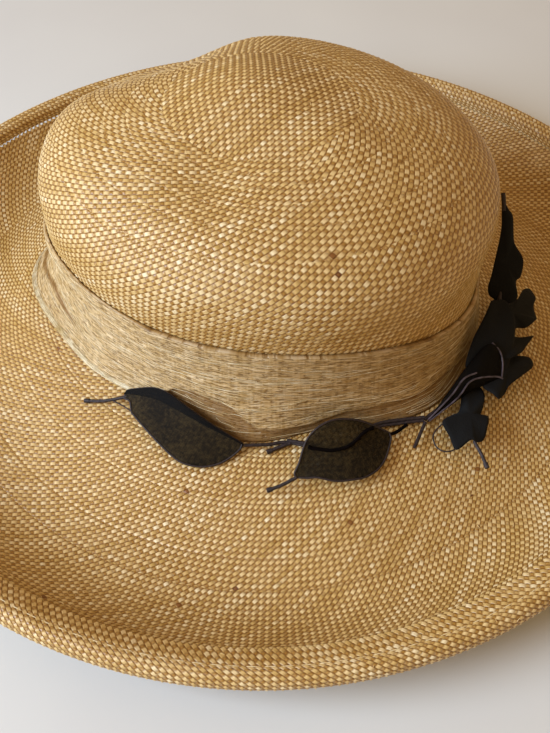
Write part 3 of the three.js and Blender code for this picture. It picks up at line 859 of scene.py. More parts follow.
def stitch_tree():
    tree, source, output = new_tree("running_stitch", spacing=0.006, length=0.005, width=0.0005,
                                    material=None)
    path = add(tree, "GeometryNodeMeshToCurve", {0: source.outputs["Geometry"]})
    points = add(tree, "GeometryNodeCurveToPoints", {"Curve": path, "Length": source.outputs["Spacing"]},
                 mode="LENGTH")
    bead = add(tree, "GeometryNodeMeshUVSphere", STITCH_BEAD)
    size = add(tree, "ShaderNodeCombineXYZ", {0: source.outputs["Width"], 1: source.outputs["Width"],
                                              2: source.outputs["Length"]})
    rows = add(tree, "GeometryNodeInstanceOnPoints", {"Points": points, "Instance": bead,
                                                      "Rotation": points.outputs["Rotation"],
                                                      "Scale": size})
    finish_tree(tree, rows, source.outputs["Material"], output)
    return tree


running_stitch = stitch_tree()
ring_edges = [(i, (i + 1) % RIM_STEPS) for i in range(RIM_STEPS)]
back, height = roll_section(np.full(RIM_STEPS, STITCH_TURN), every_way)
out = rim_radius(every_way) - back
ring = np.stack([out * np.cos(every_way), out * np.sin(every_way), height], axis=1)
stitches = grow("hem_stitches", make_mesh("stitch_path", ring, [], ring_edges), running_stitch,
                spacing=STITCH["spacing"] * MM, length=STITCH["length"] * MM, width=STITCH["width"] * MM,
                material=sewing_thread)
fit(stitches)

# %% [markdown]
# Where a straw ends, the next one is laid in beside it, and the cut ends stand a little out of the cloth.
# They catch the light and roughen the outline. They are scattered by density over the woven faces alone,
# each one turned and tipped by chance from a fixed seed.

# %% Straw ends
NUB = {"length": 1.7, "width": 0.17, "per_square_metre": 3500.0}
NUB_FORM = {"Vertices": 5, "Radius Top": 0.35, "Radius Bottom": 1.0, "Depth": 1.0}
WOVEN_FACE = 0.9
NUB_TIP = (1.15, 0.0, 0.0)
NUB_TURN = (1.5, 0.0, 2 * math.pi)


def nub_tree():
    tree, source, output = new_tree("straw_ends", density=4000.0, length=0.002, width=0.0002, seed=5,
                                    material=None)
    outward = add(tree, "GeometryNodeInputNamedAttribute", {"Name": "outward"}, data_type="FLOAT_VECTOR")
    woven = add(tree, "ShaderNodeVectorMath", {0: outward}, operation="LENGTH")
    on_face = add(tree, "ShaderNodeMath", {0: woven.outputs["Value"], 1: WOVEN_FACE},
                  operation="GREATER_THAN")
    points = add(tree, "GeometryNodeDistributePointsOnFaces",
                 {"Mesh": source.outputs["Geometry"], "Selection": on_face,
                  "Density": source.outputs["Density"], "Seed": source.outputs["Seed"]})
    sliver = add(tree, "GeometryNodeMeshCone", NUB_FORM)
    chance = add(tree, "FunctionNodeRandomValue", {0: NUB_TIP, 1: NUB_TURN, "Seed": source.outputs["Seed"]},
                 data_type="FLOAT_VECTOR")
    tip = add(tree, "FunctionNodeEulerToRotation", {0: chance})
    turned = add(tree, "FunctionNodeRotateRotation", {0: points.outputs["Rotation"], 1: tip},
                 rotation_space="LOCAL")
    size = add(tree, "ShaderNodeCombineXYZ", {0: source.outputs["Width"], 1: source.outputs["Width"],
                                              2: source.outputs["Length"]})
    ends = add(tree, "GeometryNodeInstanceOnPoints", {"Points": points, "Instance": sliver.outputs["Mesh"],
                                                      "Rotation": turned, "Scale": size})
    finish_tree(tree, ends, source.outputs["Material"], output)
    return tree


straw_ends = nub_tree()
for woven in (crown, brim_slope, brim_wall, brim_hem):
    ends = grow(woven.name + "_ends", woven.data.copy(), straw_ends, density=NUB["per_square_metre"],
                length=NUB["length"] * MM, width=NUB["width"] * MM, material=cut_straw)
    fit(ends)

# %% [markdown]
# The band is a strip of pale fibre cloth drawn round the foot of the crown. Its fibres run along it, in
# low ridges that wander and run out. Its foot is doubled: on the left the under layer stands out below a
# long slanting crease and flares on to the brim, and at the front and the right the upper layer ends over
# a smooth one, painted browner as the shade under it. The ridges are made in the mesh as a sum of waves
# over the height whose phase drifts round the hat. The fold is a step in the same mesh, along a line that
# a short table gives. A cloth simulation could fold the strip as well, but it wouldn't put the crease where
# it is on this hat.

# %% Band form
BAND = {"height": 46.0, "thick": 0.9, "clear": 0.45, "flare": 1.0, "drop": 0.2, "foot_curve": 2.5}
BAND_WAVES = [
    {"at": 172, "flare": 20.0, "top": -2.0, "spread": 24},
    {"at": 214, "flare": 4.5, "top": 0.0, "spread": 17},
    {"at": 264, "flare": 8.5, "top": 0.0, "spread": 16},
    {"at": 312, "flare": 9.0, "top": 0.0, "spread": 20},
    {"at": 350, "flare": 1.5, "top": -26.0, "spread": 46},
]
PLEATS = [
    {"width": 11.0, "depth": 0.25, "drift": 2.2, "turns": 2, "start": 0.4},
    {"width": 5.3, "depth": 0.2, "drift": 2.9, "turns": 3, "start": 1.9},
    {"width": 3.1, "depth": 0.16, "drift": 3.4, "turns": 5, "start": 4.0},
    {"width": 1.9, "depth": 0.12, "drift": 4.1, "turns": 7, "start": 2.6},
]
FOLD = np.array([
    # direction, share of the height, step out of the upper layer, painted shade below
    (150, 0.0, -1.0, 0.2), (165, 0.05, -1.0, 0.2), (175, 0.12, -1.0, 0.2), (188, 0.26, -1.0, 0.2),
    (199, 0.25, -0.9, 0.2), (205, 0.24, -0.4, 0.1), (212, 0.22, 0.0, 0.0), (219, 0.03, 0.0, 0.0),
    (224, 0.0, 0.0, 0.5), (236, 0.05, 1.1, 0.8), (243, 0.3, 1.1, 0.8), (249, 0.35, 1.1, 0.8),
    (256, 0.36, 1.1, 0.8), (260, 0.31, 1.1, 0.8), (263, 0.22, 1.1, 0.8), (267, 0.13, 1.1, 0.8),
    (273, 0.1, 1.1, 0.8), (281, 0.1, 1.1, 0.7), (290, 0.19, 1.1, 0.7), (304, 0.22, 1.1, 0.7),
    (320, 0.25, 1.1, 0.7), (335, 0.1, 1.1, 0.6), (345, 0.0, 1.1, 0.6),
])
FOLD_EDGE = {"soft": 0.03, "open": 0.06, "line": 0.026, "off": 0.024, "dark": 0.9, "smooth": 0.85}
RIDGE_ENDS = {"foot": 0.05, "top": 0.04}
FAR_SHADE = {"at": 325, "spread": 75, "share": 0.34}
TOP_SHADE = {"share": 0.45, "from": 0.97}
BAND_COLUMNS = 640
BAND_ROWS = 72
BAND_BACK_ROWS = 10
profile_rise, profile_spread, _ = crown_profile(crown_travel)


def band_wave(angle, key):
    return sum(wave[key] * hump(angle, wave["at"], wave["spread"]) for wave in BAND_WAVES)


def fold(share, angle):
    """How far a point lies above the fold, how open the fold is, its step, and the painted shade below it.
    """
    way = np.degrees(angle) % 360
    line, step, shade_below = (np.interp(way, FOLD[:, 0], FOLD[:, k]) for k in (1, 2, 3))
    return share - line, smoothstep(line, 0, FOLD_EDGE["open"]), step, shade_below


def band_point(share, angle, out, ridged=True):
    """A point of the band's face; share runs from its foot to its top edge, out is its depth."""
    flare = BAND["flare"] + band_wave(angle, "flare")
    low = CROWN_FOOT - BAND["drop"] * flare
    high = CROWN_FOOT + BAND["height"] + band_wave(angle, "top")
    z = low + (high - low) * share
    side = np.interp(z - CROWN_FOOT, profile_rise[::-1], profile_spread[::-1])
    radius = side * head_radius(angle) + side_swell(z - CROWN_FOOT, angle) + BAND["clear"] + out
    radius = radius + flare * (1 - share) ** BAND["foot_curve"]
    if ridged:
        past, strength, step, _ = fold(share, angle)
        above = smoothstep(past, 0, FOLD_EDGE["soft"])
        ends = smoothstep(share, 0, RIDGE_ENDS["foot"]) * smoothstep(1 - share, 0, RIDGE_ENDS["top"])
        ends = ends * (1 - FOLD_EDGE["smooth"] * strength * (1 - above))
        for pleat in PLEATS:
            phase = pleat["drift"] * np.sin(pleat["turns"] * angle + pleat["start"]) + pleat["start"]
            wave = np.sin(2 * np.pi * share * BAND["height"] / pleat["width"] + phase)
            radius = radius + pleat["depth"] * (0.5 + 0.5 * wave) * ends
        radius = radius + strength * (np.maximum(step, 0) * above + np.maximum(-step, 0) * (1 - above))
    x = radius * np.cos(angle) + HEAD["x"]
    y = radius * np.sin(angle) + HEAD["y"]
    return np.stack([x, y, z], axis=-1)


# %% [markdown]
# The band's fibre is pale and silky, something like sisal: cream to straw colour, open enough to show
# short dark dashes between the fibres, with a few faint threads across. The mesh carries millimetres
# along and up the strip, so the dashes lie on the cloth itself: noises five to twenty times as long as
# high, for colour and bump. A third value paints shade in brown: a shadow line along the fold, the shade
# under it, the top edge, and the side away from the light.

# %% Band material
STREAKS_PER_MM = (0.11, 2.1, 0.0)
DASHES_PER_MM = (0.3, 1.5, 0.0)
CROSS_PER_MM = (0.9, 0.06, 0.0)
CROSS_SHARE = 0.22
DASH_HOLE = {"From Min": 0.36, "From Max": 0.46, "To Min": 0.75, "To Max": 0.0}
BAND_RAMP = [(0.34, "#7E6030"), (0.43, "#B6965C"), (0.53, "#DABF8C"), (0.66, "#EFDDB6")]
HOLE_COLOUR = "#7D5E30"
BAND_SHADE_BROWN = "#7B5521"
BAND_BUMP = {"Distance": 0.0005, "Strength": 0.8}
BAND_ROUGHNESS = 0.48


def band_material():
    material, tree = new_material("pleated_sisal_cloth")
    cloth = add(tree, "ShaderNodeAttribute", attribute_name="cloth")
    streak_at = add(tree, "ShaderNodeVectorMath", {0: cloth.outputs["Vector"], 1: STREAKS_PER_MM},
                    operation="MULTIPLY")
    streak = add(tree, "ShaderNodeTexNoise", {"Vector": streak_at, "Scale": 1.0, "Detail": 2.0,
                                              "Roughness": 0.6})
    dash_at = add(tree, "ShaderNodeVectorMath", {0: cloth.outputs["Vector"], 1: DASHES_PER_MM},
                  operation="MULTIPLY")
    dash = add(tree, "ShaderNodeTexNoise", {"Vector": dash_at, "Scale": 1.0, "Detail": 1.0})
    hole = add(tree, "ShaderNodeMapRange", {"Value": dash, **DASH_HOLE})
    cross_at = add(tree, "ShaderNodeVectorMath", {0: cloth.outputs["Vector"], 1: CROSS_PER_MM},
                   operation="MULTIPLY")
    cross = add(tree, "ShaderNodeTexNoise", {"Vector": cross_at, "Scale": 1.0, "Detail": 2.0})
    tone = add(tree, "ShaderNodeMix", {0: CROSS_SHARE, 2: streak, 3: cross})
    fibre = ramp(tree, tone, BAND_RAMP)
    open_cloth = add(tree, "ShaderNodeMix", {0: hole, 6: fibre, 7: linear(HOLE_COLOUR)}, data_type="RGBA")
    # The cloth's third value mixes in brown as painted shade
    place_on = add(tree, "ShaderNodeSeparateXYZ", {0: cloth.outputs["Vector"]})
    colour = add(tree, "ShaderNodeMix", {0: place_on.outputs[2], 6: open_cloth.outputs[2],
                                         7: linear(BAND_SHADE_BROWN)},
                 data_type="RGBA")
    dented = add(tree, "ShaderNodeMath", {0: streak, 1: hole}, operation="SUBTRACT")
    bump = add(tree, "ShaderNodeBump", {"Height": dented, **BAND_BUMP})
    finish_material(tree, {"Base Color": colour.outputs[2], "Normal": bump, "Roughness": BAND_ROUGHNESS,
                           "IOR": FIBRE_IOR})
    return material


sisal_cloth = band_material()
print("material:", sisal_cloth.name)

# %% Band
band_angle = np.linspace(0, 2 * np.pi, BAND_COLUMNS, endpoint=False)
front_share = np.linspace(0, 1, BAND_ROWS)
back_share = np.linspace(1, 0, BAND_BACK_ROWS)
front = band_point(front_share[None, :], band_angle[:, None], BAND["thick"])
behind = band_point(back_share[None, :], band_angle[:, None], 0.0, ridged=False)
section = np.concatenate([front, behind], axis=1)
SECTION = BAND_ROWS + BAND_BACK_ROWS
column, step = np.meshgrid(np.arange(BAND_COLUMNS), np.arange(SECTION), indexing="ij")
next_column = (column + 1) % BAND_COLUMNS
next_step = (step + 1) % SECTION
here, beside = column * SECTION, next_column * SECTION
band_faces = np.stack([here + step, beside + step, beside + next_step, here + next_step],
                      axis=-1).reshape(-1, 4)
up_band = np.concatenate([front_share, back_share]) * BAND["height"]
along_band = band_angle * HEAD_MEAN
share_of = np.concatenate([front_share, back_share])[None, :]
past, strength, fold_step, shade_below = fold(share_of, band_angle[:, None])
# Painted shade: a shadow line along the crease, shade under the fold, the far side and the top edge
line_off = past + FOLD_EDGE["off"] * np.sign(fold_step)
darkest = np.minimum(np.abs(fold_step), FOLD_EDGE["dark"])
crease_shadow = darkest * np.exp(-((line_off / FOLD_EDGE["line"]) ** 2))
shade_under_fold = shade_below * smoothstep(-past, 0, FOLD_EDGE["soft"])
far_side_shade = FAR_SHADE["share"] * hump(band_angle[:, None], FAR_SHADE["at"], FAR_SHADE["spread"])
edge_shade = TOP_SHADE["share"] * smoothstep(share_of, TOP_SHADE["from"], 1.0)
brown = np.maximum(strength * np.maximum(crease_shadow, shade_under_fold), np.maximum(far_side_shade, edge_shade))
cloth = np.stack(np.broadcast_arrays(along_band[:, None], up_band[None, :], brown), axis=-1)
band = place("hat_band_cloth", make_mesh("hat_band_cloth", section.reshape(-1, 3), band_faces.tolist(),
                                         cloth=cloth.reshape(-1, 3)), sisal_cloth)
fit(band, "hat_band")

# %% [markdown]
# Strands. Wrapped wire stems, the wires round the leaves, and loose fibres are all a thin round thing
# along a path, so one tree makes them: it takes a path, spaces it evenly, runs a small circle along it,
# and can raise a spiral step on the tube, which is the edge of the paper tape that a milliner winds round
# a wire.

# %% Strand tree
def strand_tree():
    tree, source, output = new_tree("wrapped_strand", radius=0.001, sides=8, step=0.0005, wrap_pitch=0.002,
                                    wrap_relief=0.0, material=None)
    path = add(tree, "GeometryNodeMeshToCurve", {0: source.outputs["Geometry"]})
    even = add(tree, "GeometryNodeResampleCurve", {"Curve": path, "Length": source.outputs["Step"]},
               mode="LENGTH")
    along = add(tree, "GeometryNodeSplineParameter")
    turns = add(tree, "ShaderNodeMath", {0: along.outputs["Length"], 1: source.outputs["Wrap pitch"]},
                operation="DIVIDE")
    marked = add(tree, "GeometryNodeStoreNamedAttribute", {0: even, "Name": "turns", "Value": turns})
    ring = add(tree, "GeometryNodeCurvePrimitiveCircle", {"Resolution": source.outputs["Sides"],
                                                          "Radius": source.outputs["Radius"]})
    round_share = add(tree, "GeometryNodeSplineParameter")
    ring_marked = add(tree, "GeometryNodeStoreNamedAttribute", {0: ring, "Name": "round",
                                                                "Value": round_share.outputs["Factor"]})
    tube = add(tree, "GeometryNodeCurveToMesh", {"Curve": marked, "Profile Curve": ring_marked,
                                                 "Fill Caps": True})
    turn_of = add(tree, "GeometryNodeInputNamedAttribute", {"Name": "turns"}, data_type="FLOAT")
    round_of = add(tree, "GeometryNodeInputNamedAttribute", {"Name": "round"}, data_type="FLOAT")
    spiral = add(tree, "ShaderNodeMath", {0: turn_of, 1: round_of}, operation="ADD")
    tape = add(tree, "ShaderNodeMath", {0: spiral}, operation="FRACT")
    lift = add(tree, "ShaderNodeMath", {0: tape, 1: source.outputs["Wrap relief"]}, operation="MULTIPLY")
    normal = add(tree, "GeometryNodeInputNormal")
    offset = add(tree, "ShaderNodeVectorMath", {0: normal, "Scale": lift}, operation="SCALE")
    wound = add(tree, "GeometryNodeSetPosition", {0: tube, "Offset": offset})
    labelled = add(tree, "GeometryNodeStoreNamedAttribute", {0: wound, "Name": "tape", "Value": tape})
    smooth = add(tree, "GeometryNodeSetShadeSmooth", {0: labelled})
    finish_tree(tree, smooth, source.outputs["Material"], output)
    return tree


wrapped_strand = strand_tree()
print("tree:", wrapped_strand.name)


def smooth_path(points, steps=12):
    """A rounded path through given points."""
    points = np.asarray(points, dtype=float)
    padded = np.vstack([2 * points[0] - points[1], points, 2 * points[-1] - points[-2]])
    t = np.linspace(0, 1, steps, endpoint=False)[:, None]
    parts = []
    for a, b, c, d in zip(padded[:-3], padded[1:-2], padded[2:-1], padded[3:]):
        parts.append(b + 0.5 * t * (c - a + t * (2 * a - 5 * b + 4 * c - d + t * (3 * (b - c) + d - a))))
    return np.vstack(parts + [points[-1:]])


def strand_mesh(name, paths, closed=False):
    """Many paths as one mesh of edges."""
    edges = []
    start = 0
    for path in paths:
        edges += [(start + i, start + i + 1) for i in range(len(path) - 1)]
        if closed:
            edges.append((start + len(path) - 1, start))
        start += len(path)
    return make_mesh(name, np.vstack(paths), [], edges)


# %% [markdown]
# Loose fibres of the band. They lie along the cloth a hair's breadth off it, dip under and come out
# again, and at the flared foot on the left a fringe of them spreads on to the straw. They are thinner
# than a pixel, so they are drawn about twice as thick as they are, which lets them show as the fine pale
# lines that they are.

# %% Band fibres
FIBRE = {"count": 300, "shortest": 8.0, "longest": 40.0, "radius": 0.1, "step": 2.5, "sides": 3,
         "low": 0.02, "high": 0.9, "climb": 0.03, "least_lift": 0.1, "most_lift": 0.5}
FRINGE = {"count": 170, "from": 166.0, "to": 232.0, "shortest": 12, "longest": 36,
          "low": 0.0, "high": 0.05, "climb": 0.02, "least_lift": 0.2, "most_lift": 0.9}
FIBRE_REACH = (0.01, 0.96)
FIBRE_WAVE = {"depth": 0.006, "along": 9, "round": 40}
FIBRE_OFF = 0.05
FIBRE_STEPS = 4
sisal_fibre = thread_material("loose_sisal_fibre", [(0.3, "#CDB277"), (0.7, "#F7EBC8")],
                              grains_per_mm=0.2, roughness=0.4)


def band_fibre(angle, share, length, climb, lift):
    """A wavy fibre along the band's face."""
    steps = max(int(length / FIBRE["step"]), FIBRE_STEPS)
    t = np.linspace(0, 1, steps)
    angles = angle + t * length / HEAD_MEAN
    wave = FIBRE_WAVE["depth"] * np.sin(FIBRE_WAVE["along"] * t + FIBRE_WAVE["round"] * angle)
    shares = np.clip(share + climb * t + wave, *FIBRE_REACH)
    return band_point(shares, angles, BAND["thick"] + lift * np.sin(np.pi * t) + FIBRE_OFF)


fibres = []
for _ in range(FIBRE["count"]):
    length = rng.uniform(FIBRE["shortest"], FIBRE["longest"])
    angle = rng.uniform(0, 2 * np.pi)
    share = rng.uniform(FIBRE["low"], FIBRE["high"])
    climb = rng.normal(0, FIBRE["climb"])
    lift = rng.uniform(FIBRE["least_lift"], FIBRE["most_lift"])
    fibres.append(band_fibre(angle, share, length, climb, lift))
for _ in range(FRINGE["count"]):
    angle = math.radians(rng.uniform(FRINGE["from"], FRINGE["to"]))
    share = rng.uniform(FRINGE["low"], FRINGE["high"])
    length = rng.uniform(FRINGE["shortest"], FRINGE["longest"])
    climb = rng.normal(0, FRINGE["climb"])
    lift = rng.uniform(FRINGE["least_lift"], FRINGE["most_lift"])
    fibres.append(band_fibre(angle, share, length, climb, lift))
fibre_paths = strand_mesh("band_fibre_paths", fibres)
loose = grow("band_fibres", fibre_paths, wrapped_strand, radius=FIBRE["radius"] * MM,
             sides=FIBRE["sides"], step=FIBRE["step"] * MM, material=sisal_fibre)
fit(loose)

# %% [markdown]
# The spray stands on wire stems wound with a dark, purplish paper tape. Each stem and each cut twig is
# its own piece in the solids, so each is made along the same way, with the tape's spiral edge on it. The
# main stem is two wires bound together where it passes under the middle leaf, and cut twigs end in a
# small knob of tape.

# %% Wire paths
STEM_RADIUS = 0.95
TWIG_RADIUS = 0.75
KNOB = {"radius": 1.05, "length": 2.4}
KNOBBED = ["stem_left", "twig_leaf", "twig_centre", "twig_low"]
TAPE = {"pitch": 3.4, "relief": 0.08, "step": 0.35, "sides": 12}
STEMS = {
    "stem_left": (TWIG_RADIUS, [(-82, -72.3, 14.5), (-73, -74.2, 16.8), (-62, -74.5, 20.3)]),
    "stem_main": (TWIG_RADIUS, [(-11.2, -99, 18.4), (-1, -98, 17.5), (7.5, -96.6, 17.1), (23, -99.6, 16.5),
                                (34.6, -97, 16.5), (44, -89, 16.9), (55.8, -86.6, 17.1), (66, -85, 17.2)]),
    "stem_right": (STEM_RADIUS, [(66.6, -84.6, 17.2), (87, -67.5, 19.4), (99, -51, 22.5), (103, -38, 25.6),
                                 (105.8, -23.6, 33.6)]),
    "twig_centre": (TWIG_RADIUS, [(8.6, -97, 17.2), (3.6, -98.8, 16.6), (-1.4, -100.8, 15.8)]),
    "twig_leaf": (TWIG_RADIUS, [(10.8, -114.6, 17.9), (4.9, -117.2, 16.2), (-1.3, -119, 14.6)]),
    "twig_fork": (TWIG_RADIUS, [(66.6, -86, 17), (64, -91.5, 16.2), (61, -98, 15.2)]),
    "twig_low": (TWIG_RADIUS, [(86.2, -96, 17), (88.6, -102, 16), (90.4, -108, 14.8)]),
    "twig_tip": (KNOB["radius"], [(107.4, 4.6, 57.6), (107.3, 7.7, 60.2), (107, 10.9, 62.9)]),
}
BOUND_TO_MAIN = [(7, -96, 17.8), (24, -98.6, 17.4), (35.4, -96.2, 17.3), (44.8, -88, 17.8), (56, -85.4, 18),
                 (66.4, -84, 18)]
TO_HAT = np.array([HEAD["x"], HEAD["y"], 0])
print("stems and twigs:", len(STEMS))

# %% Tape material
CREPE_PER_MM = 1.4
CREPE_SHARE = 0.75
TAPE_RAMP = [(0.2, "#150E0F"), (0.55, "#271C1D"), (0.9, "#4F3F42")]
TAPE_BUMP = {"Distance": 0.0002, "Strength": 0.7}
TAPE_SHADER = {"Roughness": 0.62, "IOR": FIBRE_IOR}


def tape_material():
    material, tree = new_material("wound_paper_tape")
    tape = add(tree, "ShaderNodeAttribute", attribute_name="tape")
    spot = add(tree, "ShaderNodeTexCoord")
    crepe = add(tree, "ShaderNodeTexNoise", {"Vector": spot.outputs["Object"],
                                             "Scale": CREPE_PER_MM / MM, "Detail": 2.0})
    tone = add(tree, "ShaderNodeMix", {0: CREPE_SHARE, 2: tape.outputs["Fac"], 3: crepe})
    colour = ramp(tree, tone, TAPE_RAMP)
    bump = add(tree, "ShaderNodeBump", {"Height": crepe, **TAPE_BUMP})
    finish_material(tree, {"Base Color": colour, "Normal": bump, **TAPE_SHADER})
    return material


paper_tape = tape_material()
print("material:", paper_tape.name)

# %% Wrapped wire
KNOB_POINTS = 3


def wire_piece(name, paths, radius, material=paper_tape):
    core = radius - TAPE["relief"] / 2
    return grow(name, strand_mesh(name + "_path", paths), wrapped_strand, radius=core * MM,
                sides=TAPE["sides"], step=TAPE["step"] * MM, wrap_pitch=TAPE["pitch"] * MM,
                wrap_relief=TAPE["relief"] * MM, material=material)


knobs = []
for name, (radius, points) in STEMS.items():
    points = np.array(points) + TO_HAT
    paths = [smooth_path(points)]
    if name == "stem_main":
        paths.append(smooth_path(np.array(BOUND_TO_MAIN) + TO_HAT))
    if name in KNOBBED:
        end, before = (points[0], points[1]) if name == "stem_left" else (points[-1], points[-2])
        back_along = (before - end) / np.linalg.norm(before - end)
        knobs.append(np.linspace(end, end + back_along * KNOB["length"], KNOB_POINTS))
    fit(wire_piece(name + "_wire", paths, radius), name)
fit(wire_piece("cut_twig_ends", knobs, KNOB["radius"]))

# %% [markdown]
# Leaves. A cloth leaf is cut, starched and shaped by hand: it bows along its length and dishes across it.
# Each is a thin closed plate with a frame of its own: a foot, a tip, and a side that points towards the
# crown. The sheer ones are stretched over a wire that runs round the edge, so each edge is a smooth curve
# through a few widths. The velvet ones are cut in lobes, so each is an outline filled out from its
# middle.

# %% Leaf form
LEAF_ROWS = 64
LEAF_COLUMNS = 17
VELVET_RINGS = 8
EDGE_STEPS = 6


def leaf_frame(leaf):
    """Foot, length, direction along, direction off the face and direction across."""
    start = np.array(leaf["foot"]) + TO_HAT
    along = np.array(leaf["tip"]) + TO_HAT - start
    length = np.linalg.norm(along)
    normal = np.cross(along, leaf["side"])
    normal = normal / np.linalg.norm(normal) * np.sign(normal[2])
    across = np.cross(normal, along) / length
    return start, length, along / length, normal, across * np.sign(np.dot(across, leaf["side"]))


def leaf_place(leaf, along_mm, across_mm, off_mm):
    """Points given along, across and off a leaf, in the hat's frame."""
    start, _, along, normal, across = leaf_frame(leaf)
    return start + along * along_mm[..., None] + across * across_mm[..., None] + normal * off_mm[..., None]


def edge_width(u, widths):
    """Width of one side of a leaf, a smooth curve through (share of length, mm) pairs."""
    curve = smooth_path(widths, EDGE_STEPS)
    return np.interp(u, np.maximum.accumulate(curve[:, 0]), curve[:, 1])


def sheer_point(leaf, u, v, off=0.0):
    """A point of a sheer leaf: u runs from foot to tip and v from -1 to 1, towards the crown."""
    width = np.where(v > 0, edge_width(u, leaf["inner"]), edge_width(u, leaf["outer"]))
    height = leaf["bow"] * np.sin(np.pi * u) + leaf["fold"] * v * v * np.sin(np.pi * u) + off
    return leaf_place(leaf, u * leaf_frame(leaf)[1], v * width, height)


def plate(points, back):
    """Faces of a closed plate between two grids of points."""
    rows, columns = points.shape[:2]
    index = np.arange(rows * columns).reshape(rows, columns)
    a, b, c, d = index[:-1, :-1], index[1:, :-1], index[1:, 1:], index[:-1, 1:]
    front_faces = np.stack([a, b, c, d], axis=-1).reshape(-1, 4)
    back_faces = front_faces[:, ::-1] + rows * columns
    edge = np.concatenate([index[0, :-1], index[:-1, -1], index[-1, :0:-1], index[:0:-1, 0]])
    following = np.roll(edge, -1)
    edge_faces = np.stack([edge, following, following + rows * columns, edge + rows * columns], axis=-1)
    faces = np.concatenate([front_faces, back_faces, edge_faces])
    all_points = np.concatenate([points.reshape(-1, 3), back.reshape(-1, 3)])
    middle = (rows // 2, columns // 2)
    down_leaf = points[middle[0] + 1, middle[1]] - points[middle]
    over_leaf = points[middle[0], middle[1] + 1] - points[middle]
    normal = np.cross(down_leaf, over_leaf)
    facing_back = np.dot(normal, points[middle] - back[middle]) < 0
    return all_points, faces[:, ::-1] if facing_back else faces


def sheer_mesh(leaf, thick, v_low=-1.0, off=0.0, turned=0.0):
    u, v = np.meshgrid(np.linspace(0, 1, LEAF_ROWS), np.linspace(v_low, 1, LEAF_COLUMNS), indexing="ij")
    points, faces = plate(sheer_point(leaf, u, v, off + thick / 2),
                          sheer_point(leaf, u, v, off - thick / 2))
    width = np.where(v > 0, edge_width(u, leaf["inner"]), edge_width(u, leaf["outer"]))
    cloth = np.stack([u * leaf_frame(leaf)[1], v * width, np.full_like(u, turned)], axis=-1)
    return points, faces, np.concatenate([cloth.reshape(-1, 3)] * 2)


# %% [markdown]
# Sheer leaves are of dark starched cloth, thin enough for the straw to show through. A little of the
# light goes straight through, so the shader's alpha stays below 1, and a fine thread grid breaks the dark
# surface. The real grid is finer than a pixel, so it is drawn at about three times its size. A wire runs
# round the edge, and where the left leaf's edge is turned in, two layers make a darker strip, darkened
# further by a tint of painted shade. The stem that passes under the middle leaf shows through it, so a
# very dark strand lies along that leaf; a short stalk ties it to the stem.

# %% Sheer outlines
SHEER = [
    {"name": "leaf_left", "foot": (-64, -74.5, 20), "tip": (-11.3, -99.5, 18.8),
     "side": (-0.36, 0.83, 0.42),
     "inner": [(0, 2), (0.02, 3.6), (0.12, 6.3), (0.21, 8.3), (0.29, 9), (0.36, 8.7), (0.43, 7.9),
               (0.63, 5), (0.8, 2.8), (1, 0.6)],
     "outer": [(0, 0.6), (0.07, 0.6), (0.12, 4.6), (0.16, 5.7), (0.42, 11.8), (0.56, 14.8),
               (0.66, 15.9), (0.78, 14.6), (0.88, 11.2), (0.95, 6.3), (1, 0.6)],
     "bow": 5.0, "fold": 1.2, "turned_in": 0.5},
    {"name": "leaf_centre", "foot": (51, -93.8, 18.9), "tip": (9.8, -114, 18), "side": (-0.35, 0.7, 0.62),
     "inner": [(0, 0.6), (0.08, 4), (0.2, 8.8), (0.31, 12.2), (0.48, 15.4), (0.61, 15.7),
               (0.71, 14.4), (0.8, 11.8), (0.88, 7.1), (0.925, 4.1), (1, 0.6)],
     "outer": [(0, 0.6), (0.06, 4), (0.16, 8.1), (0.27, 10.5), (0.41, 11.2), (0.55, 9.9), (0.69, 7.8),
               (0.82, 3.9), (0.9, 2.7), (1, 0.6)],
     "bow": 4.0, "fold": 2.0},
]
RIB = [(0.8, 0.78), (0.766, 0.6), (0.652, 0.32), (0.528, 0.21), (0.425, 0.23), (0.308, 0.42), (0.161, 0.8)]
STALK = [(50.2, -93.9, 18.8), (54, -91.6, 18.0), (58.5, -87.6, 17.4)]
RIB_RADIUS = 0.75
SHADE_GLOSS = 0.06
SHEER_THICK = 0.35
RIM_WIRE = 0.38
RIM_START = 0.01
RIM_TAPE = {"sides": 8, "step": 0.8 * MM, "wrap_pitch": 1.6 * MM, "wrap_relief": 0.1 * MM}
TURNED_OFF = 0.7
print("sheer leaves:", len(SHEER))

# %% Sheer material
SHEER_THREAD = 0.9
TURNED_SHADE_TINT = "#4A463C"
SHEER_RAMP = [(0.34, "#120D05"), (0.5, "#221A0C"), (0.68, "#41361E")]
GRID_TONE = 0.14
CLOUDS_PER_MM = 0.06
GRAINS_PER_MM = 0.7
GRAIN_SHARE = 0.6
SHEER_BUMP = {"Distance": 0.0001, "Strength": 0.5}
SHEER_SHADER = {"Roughness": 0.7, "IOR": FIBRE_IOR, "Specular IOR Level": 0.14, "Alpha": 0.86}


